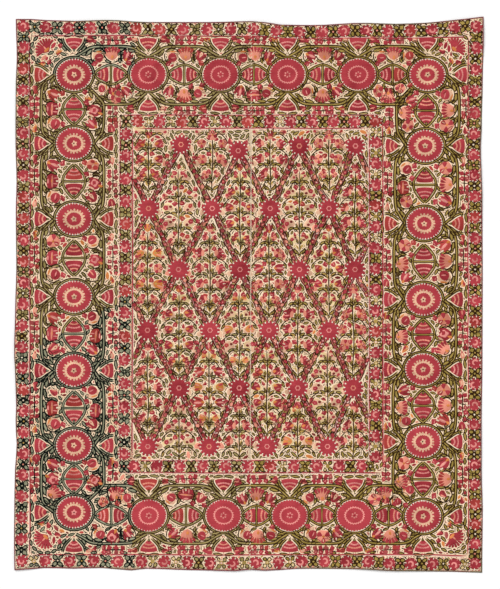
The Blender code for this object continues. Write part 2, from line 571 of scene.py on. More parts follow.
def unsteady(shape):
    """The small slips of a hand-drawn outline: two slow waves round the shape."""
    angle = turns(len(shape))
    oval_slip = 0.05 * np.cos(2 * angle + between(0, 6))
    corner_slip = 0.04 * np.cos(3 * angle + between(0, 6))
    return shape * (1 + (oval_slip + corner_slip))


def inset(shape, by):
    """The shape made smaller by so many millimetres on each side."""
    half_length, half_breadth = np.abs(shape.real).max(), np.abs(shape.imag).max()
    by = min(by, 0.75 * half_length, 0.75 * half_breadth)  # a quarter always stays
    return shape.real * (1 - by / half_length) + 1j * shape.imag * (1 - by / half_breadth)


def patch(hoop, shape, at, heading, fill, outline=None, wide=4.4, height=0.5, on=0.0):
    """A filled shape laid at a place of the cloth. One that is worked on a fill starts at the height on."""
    shape = unsteady(np.asarray(shape, complex))
    at += complex(slip(0.6), slip(0.6))
    turn = rect(1, heading + slip(0.035))
    if outline:
        shapes = [shape, inset(shape, wide * 0.45), inset(shape, wide), 0]
        heights, silks = [SUNK, height + 0.4, height * 0.6, height], [outline, outline, fill]
    else:
        shapes = [shape, inset(shape, 1.6), 0]
        heights, silks = [SUNK, height * 0.75, height], [fill, fill]
    rings = [at + turn * np.atleast_1d(ring) for ring in shapes]
    hoop.nest(rings, [on + value for value in heights], silks, heading + between(-0.2, 0.2))


print("a detail on a fill starts", ON_FILL, "mm up")

# %% [markdown]
# ## Lines
#
# A line could be a curve with a round bevel, but half of such a tube would be buried in the cloth. A
# ridge of two sunk edges and a crest looks the same for a third of the faces. A broad line gets two
# shoulders and a flat top.

# %% Lines
BROAD = 8  # mm; a line wider than this has a flat top
SHOULDER = 1.4  # mm from its edge to the flat top


def ahead_of(path, closed=False):
    """The direction of a path at each of its points, as a complex number of length 1."""
    step = np.roll(path, -1) - np.roll(path, 1) if closed else np.gradient(path)
    return step / np.maximum(np.abs(step), 1e-9)


def line(hoop, path, wide, fill, height=0.9, closed=False, blunt=False, on=0.0):
    """A ridge of silk along a path of complex points; wide may be one number or one for each point."""
    path = np.asarray(path, complex)
    if closed and np.sum((path.conj() * np.roll(path, -1)).imag) < 0:
        path = path[::-1]
    ahead = ahead_of(path, closed)
    across = 1j * ahead
    wide = np.broadcast_to(np.asarray(wide, float), len(path)).copy()
    ridge = np.full(len(path), float(height))
    if not (closed or blunt):
        wide[[0, -1]] *= 0.45
        ridge[[0, -1]] = SUNK / 2
    grain = phase(ahead[len(path) // 2])
    side = across * wide / 2
    if np.max(wide) > BROAD:
        shoulder = across * np.maximum(wide / 2 - SHOULDER, 0.1)
        rails = [path - side, path - shoulder, path + shoulder, path + side]
        heights, silks = [SUNK + on, ridge + on, ridge + on, SUNK + on], [fill, fill, fill]
    else:
        rails = [path - side * 1.1, path, path + side * 1.1]
        heights, silks = [SUNK + on, ridge + on, SUNK + on], [fill, fill]
    hoop.nest(rails, heights, silks, grain, closed=closed)


print("a line is flat on top from", BROAD, "mm")

# %% [markdown]
# ## The cotton
#
# Each panel is one narrow loom width of unbleached cotton. Hand-spun yarn is never even: the weave is
# two sets of fine ridges that cross, and slubs, the thick places in a yarn, show as short darker
# dashes. Both are far too fine for geometry, so they are made by the shader.

# %% Cotton
COTTON = (258, 229, 195)


def cotton():
    """Two sets of fine ridges that cross, slubs, and the soft stains of age."""
    material, tree, shader = new_material(
        "cotton", Roughness=0.92, Specular_IOR_Level=0.15, Sheen_Weight=0.08)
    link = tree.links.new
    where = node(tree, "ShaderNodeTexCoord").outputs["Object"]
    long_way = node(tree, "ShaderNodeMapping")
    long_way.inputs["Scale"].default_value = (900, 60, 60)
    link(where, long_way.inputs["Vector"])
    warp = pattern(tree, "ShaderNodeTexWave", where, bands_direction="X", Scale=260.0, Distortion=1.6)
    weft = pattern(tree, "ShaderNodeTexWave", where, bands_direction="Y", Scale=240.0, Distortion=1.9)
    blotches = pattern(tree, "ShaderNodeTexNoise", where, Scale=5.0, Detail=5.0)
    slubs = pattern(tree, "ShaderNodeTexNoise", long_way.outputs[0], Scale=1.0, Detail=2.0)
    ground = linear(COTTON)
    aged = (ground[0] * 0.86, ground[1] * 0.80, ground[2] * 0.70)
    stained = mixed(tree, ground, aged, ramp(tree, blotches, 0.42, 0.72))
    slubbed = mixed(tree, stained, (0.84, 0.80, 0.74), ramp(tree, slubs, 0.56, 0.72), blend_type="MULTIPLY")
    link(slubbed, shader.inputs["Base Color"])
    raised(tree, shader, sum_of(tree, "MAXIMUM", warp, weft), 0.4, 0.0003)
    return material


cotton_material = cotton()
print("cotton has", len(cotton_material.node_tree.nodes), "nodes")

# %% [markdown]
# ## A closed sheet
#
# Cloth and braid are thin sheets. A plane with a Solidify modifier could make them, but here the top
# has a relief and the underside has none, so both are laid out as grids of points and joined round
# the rim.

# %% Closed sheets
def closed_sheet(name, x, y, top, under, material, turned=False, soft_rim=False):
    """A mesh of two grids of points, joined round the rim. A grid that runs clockwise is turned."""
    grid = np.arange(x.size).reshape(x.shape)
    quads = np.stack([grid[:-1, :-1], grid[:-1, 1:], grid[1:, 1:], grid[1:, :-1]], -1).reshape(-1, 4)
    rim = np.concatenate([grid[0, :-1], grid[:-1, -1], grid[-1, :0:-1], grid[:0:-1, 0]])
    if turned:
        quads, rim = quads[:, ::-1], rim[::-1]
    faces = quads.tolist() + (quads[:, ::-1] + x.size).tolist()
    for here, after in zip(rim, np.roll(rim, -1)):
        faces.append((here, here + x.size, after + x.size, after))
    points = np.concatenate([np.stack([x, y, z], -1).reshape(-1, 3) for z in (top, under)])
    mesh = bpy.data.meshes.new(name)
    mesh.from_pydata(points * MM, [], faces)
    mesh.materials.append(material)
    mesh.polygons.foreach_set("use_smooth", [True] * (2 * len(quads)) + [soft_rim] * len(rim))
    return mesh


print("a closed sheet is", CLOTH, "mm thick as cloth")

# %% [markdown]
# ## The four loom widths
#
# Each panel takes over from its solid, with the same outline and ripples but a step of 14 mm instead
# of 50 mm, so that the ripples run smoothly. The sewing thread pulls tiny tucks into the cloth beside
# each seam. They are in the mesh and not in the bump, so that they catch the light as ripples do.

# %% Cotton panels
STEP = 14.0  # from point to point
PANEL_WIDTH, PANEL_LENGTH = 470, 2190  # about, to choose how many steps there are


def loom_width(name, y):
    """Left and right x of a panel at the height y, from the outline and the seams."""
    number = int(name[-1]) - 1
    low = edge("left", y) + BRAID_WIDTH + GAP / 2 if number == 0 else seam(number - 1, y) + GAP / 2
    high = edge("right", y) - BRAID_WIDTH - GAP / 2 if number == 3 else seam(number, y) - GAP / 2
    return low, high


def pucker(x, y):
    """Tiny tucks that the sewing thread pulls into the cloth beside the seams."""
    tucks = 0.0
    for number in range(len(SEAMS)):
        near = np.exp(-((np.abs(x - seam(number, y)) / 22) ** 2))
        tucks = tucks + 0.35 * near * np.sin(y / 9.0 + 2 * np.sin(y / 61.0))
    return np.clip(tucks, -0.3, 0.3)


def panel(name, material):
    """One loom width: a closed sheet between its seams and the braid."""
    columns, rows = round(PANEL_WIDTH / STEP), round(PANEL_LENGTH / STEP)
    u, v = np.meshgrid(np.linspace(0, 1, columns + 1), np.linspace(0, 1, rows + 1))
    low, high = loom_width(name, (v - 0.5) * LENGTH)
    x = low * (1 - u) + high * u
    y = (edge("foot", x) + BRAID_WIDTH + GAP) * (1 - v) + (edge("head", x) - BRAID_WIDTH - GAP) * v
    under = lift(x, y)
    top = under + CLOTH + pucker(x, y) * np.sin(np.pi * u) ** 0.2
    made = laid_out(name + "_cotton", closed_sheet(name + "_cotton", x, y, top, under, material))
    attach(made, "root")
    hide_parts(name)
    return made


panels = [panel(f"panel_{number}", cotton_material) for number in (1, 2, 3, 4)]
print("a panel has", len(panels[0].data.polygons), "faces")

# %% [markdown]
# ## The edge braid
#
# A narrow braid, plaited from dark red and brown silk, binds the edge. Three crossing strands over
# eight metres would cost more faces than all the flowers, so it is a strip with a chevron relief:
# each short cell rises and falls, and the two halves lean against each other as in a plait.

# %% Plaited silk
def plaited_silk():
    """Dark red and brown strands side by side, worn to drab here and there."""
    material, tree, shader = new_material("plaited_silk", Roughness=0.7, Sheen_Weight=0.1)
    thread = node(tree, "ShaderNodeAttribute", attribute_name="thread").outputs["Vector"]
    where = node(tree, "ShaderNodeTexCoord").outputs["Object"]
    lean = pattern(tree, "ShaderNodeTexWave", thread, bands_direction="DIAGONAL", Scale=0.16, Distortion=0.4)
    drift = pattern(tree, "ShaderNodeTexNoise", where, Scale=2.2, Detail=3.0)
    brown, red_strand, drab = linear((92, 52, 42)), linear((150, 48, 62)), linear((104, 88, 60))
    worn = mixed(tree, mixed(tree, brown, red_strand, lean), drab, ramp(tree, drift, 0.45, 0.62))
    tree.links.new(worn, shader.inputs["Base Color"])
    raised(tree, shader, lean, 0.6, 0.0005)
    return material


plait_material = plaited_silk()
print("plaited silk has", len(plait_material.node_tree.nodes), "nodes")

# %% Braid
BRAID_STEP = 4.0
BRAID_TOP = 2.9  # the braid's greatest thickness
PLAIT = 9.0  # from one chevron to the next
RELIEF = 0.22
# across the braid from its outer edge: how far in, and the share of the greatest thickness there
PROFILE = ((0.0, 0.6), (0.5, 0.93), (1.6, 1.0), (2.5, 0.86), (3.4, 1.0), (4.5, 0.93), (5.0, 0.6))


def braid(side, material):
    """A closed strip along one side; its outer rim is the solid's own outline."""
    places = EDGES[side][0]
    start, end = places.min(), places.max()
    stations = np.linspace(start, end, round((end - start) / BRAID_STEP) + 1)
    inwards, shares = np.array(PROFILE).T[:, :, None]
    along = np.broadcast_to(stations, (len(PROFILE), len(stations)))
    reach = edge(side, along) + (-inwards if side in ("right", "head") else inwards)
    from_middle = np.broadcast_to(abs(inwards - BRAID_WIDTH / 2), along.shape)
    x, y = (reach, along) if side in ("left", "right") else (along, reach)
    under = lift(x, y)
    chevron = np.cos((along + 1.5 * from_middle) * 2 * pi / PLAIT)
    top = under + BRAID_TOP * shares - RELIEF + RELIEF * chevron
    turned = side in ("left", "head")
    mesh = closed_sheet("plait_" + side, x, y, top, under, material, turned, soft_rim=True)
    threads = np.stack([along, from_middle, np.zeros_like(along)], -1).reshape(-1, 3)
    thread = mesh.attributes.new("thread", "FLOAT_VECTOR", "POINT")
    thread.data.foreach_set("vector", np.tile(threads, (2, 1)).ravel())
    made = laid_out("plait_" + side, mesh)
    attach(made, "root")
    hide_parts("braid_" + side)
    return made


plaits = [braid(side, plait_material) for side in EDGES]
print("braid cells:", sum(len(made.data.polygons) for made in plaits))

# %% [markdown]
# ## Which green, which red
#
# The four loom widths were shared out, and each worker had other skeins. On the left panel the
# outlines turn from brown to a green that is nearly black, near the head and over the whole lower
# half, and the leaves there are greyer. Left of the middle seam the leaves are sage, right of it
# they are olive. So a stitch asks for its silk by what it does and by where it lies.

# %% Silk by place
OUTER_GUARD = -875  # left of this x lies the left side's outer guard
NIGHT_HEAD, NIGHT_HEAD_GUARD = 905, 985  # above these the left panel is worked in the dark green
NIGHT_FOOT, NIGHT_START = -233, -895  # and below this y at this x
NIGHT_RISE = 0.55  # from where that limit rises towards the first seam, by so much for each millimetre
SIDES_FROM = 570  # the wide border's sides lie more than this from the middle


def zone(at):
    """The name of the skeins that were in use at a place."""
    x, y = at.real, at.imag
    if x < seam(0, y) + 4:
        head = NIGHT_HEAD_GUARD if x < OUTER_GUARD else NIGHT_HEAD
        if y > head or y < NIGHT_FOOT + (x - NIGHT_START) * NIGHT_RISE:
            return "night"
    return "sage" if x < seam(1, y) else "olive"


def greens(at):
    """The outline and the fill of a leaf."""
    return {"night": ("night", "mist"), "sage": ("bark", "sage"), "olive": ("bark", "olive")}[zone(at)]


def bold(at):
    """The dark green skein is thicker than the brown one, and the sides' brown than the field's."""
    return 1.38 if zone(at) == "night" else 1.2 if abs(at.real) > SIDES_FROM else 1.12


def red(at):
    """Crimson, and here and there a skein that leans to scarlet."""
    return "scarlet" if hand.random() < (0.18 if at.real < 0 else 0.10) else "crimson"


print("greens at four places:", [greens(complex(x, 0)) for x in (-900, -600, -200, 600)])

# %% [markdown]
# ## Laying a chart
#
# The border is drawn four times, once along each side, with its inner side always to the field. So
# each chart is drawn once, upright, as for the left side: x runs from the outer edge towards the
# field and y runs up along the border. A lay turns the chart, and turns it over where it has to.

# %% Lays
class Lay:
    """Where a chart is laid: its middle, a quarter turn, turned over or not, and a stretch along y."""

    def __init__(self, at, side="left", stretch=1.0):
        self.at, self.stretch = complex(at), stretch
        self.turn = {"left": 1, "right": -1, "head": -1j, "foot": 1j}[side]
        self.over = side in ("right", "foot")

    def spot(self, x, y):
        here = complex(x, y * self.stretch)
        return self.at + self.turn * (here.conjugate() if self.over else here)

    def heading(self, degrees):
        angle = radians(degrees)
        return phase(self.turn) + (-angle if self.over else angle)

    def path(self, points):
        return np.array([self.spot(x, y) for x, y in points])


print("lay test:", Lay(0, "head").spot(10, 0), Lay(0, "foot").spot(10, 0))

# %% [markdown]
# ## Guard borders
#
# Two narrow guard borders frame the wide one. Both are the same chain: a crimson rosette with pale
# tips and a curl of pink in it, then four leaves set crosswise, and so on. The rosettes were spaced
# by eye, so the chain is set out from a few fixed ones and shared out evenly between them. In the
# inner guard, and along the foot, some crosses are worked in straw and cream on the bare cotton.

# %% Guard rosettes and leaf crosses
reds = Hoop("guard_rosettes")
cross_leaves = Hoop("guard_leaf_crosses")
crosses = Hoop("guard_cross_hearts")
curls = Hoop("guard_curls_and_tips")
rails = Hoop("guard_lines")


def small_rosette(at, radius=25.5):
    """A crimson rosette with pale tips round it and a pink curl in it."""
    body = wheel(radius, 8, 0.05, 24)
    patch(reds, body, at, between(0, 6), red(at), outline="maroon", wide=2.6, height=0.7)
    start = between(0, 6.3)
    sweep = np.linspace(0, 4.2, 8)
    arc = at + complex(slip(2), slip(2)) + np.exp(1j * (start + sweep)) * (11.5 - sweep * 0.9)
    line(curls, arc, np.linspace(8, 5, 8), "pink", height=0.5, on=ON_FILL)
    tips = pick((6, 7, 7, 8))
    for tip in range(tips):
        angle = start + tip * 2 * pi / tips + slip(0.06)
        spot = at + rect(radius * 0.88, angle)
        pale = pick(("blush", "blush", "pink"))
        patch(curls, drop(10, 5.4, 6), spot, angle + pi, pale, on=ON_FILL)


def leaf_cross(at, size=1.0, heading=0.0, light=0.0):
    """Four outlined leaves round a fifth. A light one, as likely as said, shows more cotton."""
    dark, pale = greens(at)
    turn = rect(size, heading)
    airy = hand.random() < light
    thick = (4.0 if airy else 4.4) * bold(at) ** 0.5
    if not airy:
        patch(cross_leaves, block(30, 38), at, heading, pick((dark, dark, pale)), height=0.4)
    lobe_size = size * (0.84 if airy else 1.0)
    lobe_silks = (pale, "straw", pale)
    tip_silks = ("petal", "salmon", pale, dark) if airy else (dark, dark, pale, "salmon")
    bead_silks = ("cream", "salmon", dark) if airy else ("cream", "salmon", dark, dark)
    heart_silks = ("cream", "straw", "petal", pale) if airy else (pale, pale, "salmon", "mustard", "cream")
    for x, y in ((1, 1), (-1, 1), (-1, -1), (1, -1)):
        spot = at + turn * complex(10.5 * x, 13.5 * y)
        shape = pick((oval, drop, bud4))
        lobe = shape(between(24, 28) * lobe_size, between(20, 23) * lobe_size)
        lean = heading + math.atan2(y, x) + slip(0.4)
        fill = pick(lobe_silks) if airy else pale
        patch(cross_leaves, lobe, spot, lean, fill, outline=dark, wide=thick, on=0.4)
        spot = at + turn * complex(21.5 * x, 24 * y)
        lean = heading + math.atan2(-y, x)
        patch(cross_leaves, leaf(15, 7, 6), spot, lean, pick(tip_silks), on=0.4)
    for x, y in ((0, 23), (0, -23), (18.5, 0), (-18.5, 0)):
        spot = at + turn * complex(x, y)
        patch(cross_leaves, oval(8, 6, 6), spot, 0, pick(bead_silks), on=0.4)
    heart = pick(heart_silks)
    rim = "mustard" if airy else dark
    patch(crosses, oval(17, 17), at, 0, heart, outline=rim, wide=thick, on=0.5)


def chain(centres, close_ends=True, light=0.0):
    """A rosette at each place, but not at open ends, and a cross of leaves between each two."""
    for number, at in enumerate(centres):
        if close_ends or 0 < number < len(centres) - 1:
            small_rosette(at)
    for at, after in zip(centres, centres[1:]):
        leaf_cross((at + after) / 2, 0.96, phase(after - at), light)


def set_out(count, anchors):
    """Places for count rosettes: anchors are pairs of a rosette's number and its place."""
    numbers, fixed = zip(*anchors)
    return np.interp(np.arange(count), numbers, fixed)


print("guard motifs: a rosette and a cross of leaves")

# %% The two guards set out
GUARD = {"left": 30, "right": 30, "head": 30, "foot": 31}  # from the edge to the rosettes' middles
INNER_LEFT, INNER_RIGHT, INNER_HEAD, INNER_FOOT = -491, 508, 693, -686  # middles of the inner guard
INNER_LEAN = 0.006  # the inner guard's left side leans by so much for each millimetre down

y = set_out(26, [(0, 1075), (25, -1063)])
chain(edge("left", y) + GUARD["left"] + 1j * y)
y = set_out(27, [(0, 1072), (5, 643), (18, -440), (26, -1076)])
chain(edge("right", y) - GUARD["right"] + 1j * y)
x = set_out(21, [(0, -902), (5, -451), (9, -73), (13, 294), (20, 909)])
chain(x + 1j * (edge("head", x) - GUARD["head"]), close_ends=False)
x = set_out(21, [(0, -908), (5, -429), (13, 303), (20, 908)])
chain(x + 1j * (edge("foot", x) + GUARD["foot"]), close_ends=False, light=0.35)

y = set_out(15, [(0, 643), (8, -73), (14, -637)])
chain(INNER_LEFT - (INNER_HEAD - y) * INNER_LEAN + 1j * y)
leaf_cross(complex(INNER_LEFT, INNER_HEAD))
leaf_cross(complex(INNER_LEFT - 8, INNER_FOOT))
y = set_out(17, [(0, 693), (7, 103), (16, -649)])
chain(INNER_RIGHT + 1j * y, light=0.75)
x = set_out(12, [(0, -444), (5, -3), (11, 509)])
x[-1] = INNER_RIGHT
chain(x + 1j * INNER_HEAD, close_ends=False, light=0.4)
small_rosette(complex(x[0], INNER_HEAD))
x = set_out(11, [(0, -459), (5, -3), (10, 453)])
chain(x + 1j * INNER_FOOT, light=0.45)
leaf_cross(complex(INNER_RIGHT - 22, INNER_FOOT), 0.8)
print("guard rosettes and crosses:", reds.size + cross_leaves.size, "points")

# %% [markdown]
# ## Lines along the guards
#
# A pink line and a crimson one run side by side along every guard and part the borders to the eye.
# A ruled line would look printed, so each passes through a few given places, and every fifth point
# of it slips sideways by a hair.

# %% Guard lines
def guard_line(points, wide=5.0):
    """A pink line and a crimson one beside it, as a stepped edge to a guard."""
    path = smooth(points, 12)
    across = 1j * ahead_of(path)
    stations = np.arange(0, len(path), 5)
    slips = [slip(0.9) for _ in stations]
    path = path + across * np.interp(np.arange(len(path)), stations, slips)
    line(rails, path + across * wide * 0.6, wide * 0.7, "petal", height=0.7)
    line(rails, path - across * wide * 0.2, wide, "crimson", height=0.8)


for points in (
    # inside the outer guard: left, right, head and foot
    [-876 + 1j * y for y in np.linspace(-1040, 1036, 9)],
    [878 + 1j * y for y in np.linspace(1030, -1043, 9)],
    [-876 + 1036j, -400 + 1036j, 1034j, 180 + 1024j, 420 + 1027j, 660 + 1027j, 878 + 1032j],
    [878 - 1045j, 500 - 1040j, -1042j, -400 - 1040j, -876 - 1041j],
    # both edges of the inner guard's left side, then of its right side
    [-516 - 712j, -516, -514 + 719j],
    [-464 + 665j, -465, -466 - 662j],
    [483 - 662j, 483, 481 + 665j],
    [537 + 719j, 537, 537 - 712j],
    # both edges of its head side, then of its foot side
    [-514 + 719j, 719j, 537 + 719j],
    [481 + 665j, 665j, -464 + 665j],
    [-466 - 662j, -662j, 483 - 662j],
    [537 - 712j, -712j, -516 - 712j],
):
    guard_line(points)
print("guard stitches:", reds.size + crosses.size + curls.size + rails.size, "points")

# %% [markdown]
# ## Great rosettes
#
# Twenty-two great rosettes march round the wide border, a little broader than they are tall. Each is
# a crimson wheel with a toothed ring in it, a pale star in the middle, a row of pale dots inside the
# rim and a vine close round it. All rings of a wheel have the same number of points, so they nest
# and each can have its own silk. The sides have broad peach rings, the head and foot thin pink ones.

# %% Great rosettes
wheels = Hoop("great_rosettes")
dots = Hoop("great_rosette_dots")
vines = Hoop("border_vines")
WHEEL = 67.5  # mean radius of a great rosette
WIDER, LOWER = 1.06, 0.945  # it is a little broader than it is tall


def on_wheel(share, angle):
    """A place on a great rosette at a share of its radius, seen from its middle."""
    return WHEEL * share * (WIDER * np.cos(angle) + 1j * LOWER * np.sin(angle))


def vine_ring(at):
    """A dark, a green and a dark ring, in short arcs so that each takes the green of its place."""
    angle = np.linspace(0, 2 * pi, 65)
    for share, wide, part, height in ((1.05, 4.2, 0, 0.8), (1.10, 4.4, 1, 0.55), (1.16, 4.6, 0, 0.8)):
        ring = at + on_wheel(share, angle)
        for start in range(0, 64, 8):
            arc = ring[start:start + 9]
            thick = wide * bold(arc[4]) if part == 0 else wide
            line(vines, arc, thick, greens(arc[4])[part], height=height, blunt=True)


def great_rosette(at, broad):
    """A great rosette with its vine; the broad kind has a peach ring with teeth round it."""
    angle = turns(120)
    teeth = np.cos((21 if broad else 24) * angle + between(0, 6))
    wobble = 1 + 0.012 * np.cos(2 * angle + between(0, 6))
    wobble = wobble + 0.010 * np.cos(5 * angle + between(0, 6))
    if broad:
        shares, pale = [1, 0.975, 0.53 + 0.012 * teeth, 0.41 - 0.015 * teeth, 0.38], "peach"
    else:
        shares, pale = [1, 0.975, 0.555 + 0.035 * teeth, 0.475 + 0.02 * teeth, 0.44], "pink"
    rings = [at + on_wheel(1, angle) * wobble * share for share in shares] + [[at]]
    lighter = 0.4 if at.imag < 0 and not broad else 0  # the foot row's rosettes are lighter
    shade = between(0.55, 0.95) + lighter
    silks = ["crimson", "crimson", pale, "crimson", "crimson"]
    wheels.nest(rings, [SUNK, 0.7, 0.95, 0.95, 0.8, 0.9], silks, shade=shade)
    for number in range(38):
        turn = number * 2 * pi / 38 + slip(0.01)
        dot = drop(8.6 if broad else 5.4, 6.4, 6)
        patch(dots, dot, at + on_wheel(0.962, turn), turn, "blush", on=0.7)
    if broad:
        for number in range(20):
            turn = number * 2 * pi / 20 + slip(0.02)
            patch(dots, block(11.5, 10, 8), at + on_wheel(0.575, turn), turn, "peach", on=0.7)
        petals = pick(("peach", "peach", "pink"))
        patch(dots, wheel(10.5, 5, 0.25, 20), at, between(0, 6), petals, on=0.85)
    else:
        for number in range(6):
            turn = number * pi / 3 + 0.4
            patch(dots, oval(9, 8, 6), at + rect(9.5, turn), turn, "pink", on=0.85)
    patch(dots, oval(8, 8, 8), at, 0, "bark" if broad else "crimson", on=1.2)
    vine_ring(at)


SIDES = {  # the great rosettes' middles; each corner belongs to two sides
    "left": [complex(-699, y) for y in (880, 605, 303, -8, -303, -603, -870)],
    "right": [715 + 880j, 706 + 595j, 702 + 285j, 699 - 19j, 697 - 299j, 697 - 588j, 697 - 887j],
    "head": [complex(x, 881) for x in (-699, -402, -113, 155, 437, 715)],
    "foot": [complex(x, -883) for x in (-699, -400, -101, 164, 423, 697)],
}
ACROSS = ("head", "foot")  # the sides whose border runs across the cover
for side, places in SIDES.items():
    for at in places[1:-1] if side in ACROSS else places:
        great_rosette(at, broad=side not in ACROSS)
print("great rosettes:", sum(len(places) for places in SIDES.values()) - 4)

# %% [markdown]
# ## Fans
#
# A fan is half a flower seen from the side: a point, two curved sides and a bulging rim, with
# stripes of pink across it like the ribs of a shell. Two fans stand beside each great rosette, on
# its outer and its inner side, and two more, base to base, make the medallion between rosettes.

# %% Fans and medallions
fans = Hoop("fans")
stripes = Hoop("fan_stripes")
leaves = Hoop("border_leaves")


def fan_shape(length, half, roundness):
    """The point is at 0 and the rim at x = length."""
    t = np.linspace(0.04, 1, 6)
    side = length * 0.9 * t + 1j * half * np.sin(t * pi / 2) ** roundness
    t = np.linspace(1, -1, 7)[1:-1]
    rim = length * (0.9 + 0.1 * np.sqrt(1 - t**2)) + 1j * half * t
    return np.concatenate([side, rim, side.conj()[::-1]])


def beside(path, by):
    """A path shifted to its left by some millimetres."""
    return path + 1j * by * ahead_of(path)


def fan(at, heading, length, half, roundness=1.1, ribs=(0.30, 0.56), outlined=True):
    """A striped fan with its point at a place and its rim towards a heading."""
    turn = rect(1, heading)
    shape = fan_shape(length, half, roundness)
    middle = 0.62 * length
    fill = red(at)
    rings = [at + turn * (middle + (shape - middle) * share) for share in (1, 0.94)] + [[at + turn * middle]]
    fans.nest(rings, [SUNK, 0.6, 0.8], [fill, fill], heading + pi / 2)
    for rib in ribs:
        reach = half * math.sin(min(rib / 0.9, 1) * pi / 2) ** roundness * 0.84
        t = np.linspace(-1, 1, 11)
        arc = length * rib + length * 0.10 * (1 - t**2) + 1j * reach * t
        wide = np.where(np.arange(11) % 2, 7.2, 4.4)
        pale = pick(("pink", "salmon", "pink"))
        line(stripes, at + turn * arc, wide, pale, height=0.5, on=ON_FILL, blunt=True)
    tip = length * 0.44 + 1j * half * 0.4 * np.linspace(-1, 1, 5)
    line(stripes, at + turn * tip, 3.4, "maroon", height=0.4, on=ON_FILL)
    dark, pale = greens(at)
    foot = at + turn * 3
    patch(stripes, drop(17, 12), foot, heading, pale, outline=dark, wide=3.4, height=0.6, on=0.3)
    side = shape[:6]
    for path, out in ((at + turn * side, 1), (at + turn * side.conj(), -1)):
        line(stripes, beside(path, 2.0 * out)[1:], 3.4, "cream", height=0.6)
        if outlined:
            longer = np.concatenate([path, [2 * path[-1] - path[-2]]])
            wide = 4.4 * bold(at)
            line(vines, beside(longer, 6.4 * out), wide, dark, height=0.85)
            line(vines, beside(longer, 10.2 * out), 4.4, pale, height=0.55)
            line(vines, beside(longer, 14.0 * out), wide, dark, height=0.85)


def leaf_at(at, heading, length, breadth):
    """A leaf of the border in the green of its place."""
    dark, pale = greens(at)
    wide = min(4.5, breadth * 0.35) * bold(at)
    shape = leaf(length * 1.08, breadth * 1.25 * bold(at) ** 0.5)
    patch(leaves, shape, at, heading, pale, outline=dark, wide=wide, height=0.55)


print("a fan has", len(fan_shape(64, 32, 1.1)), "points round it")

# %% [markdown]
# ## Flowers
#
# Between the fans the border is full of small flowers, no two quite alike: a body in red or salmon,
# then a heart, a split or a comb of the other colour on it. The table gives each kind its parts, in
# millimetres on a flower that opens to the right.

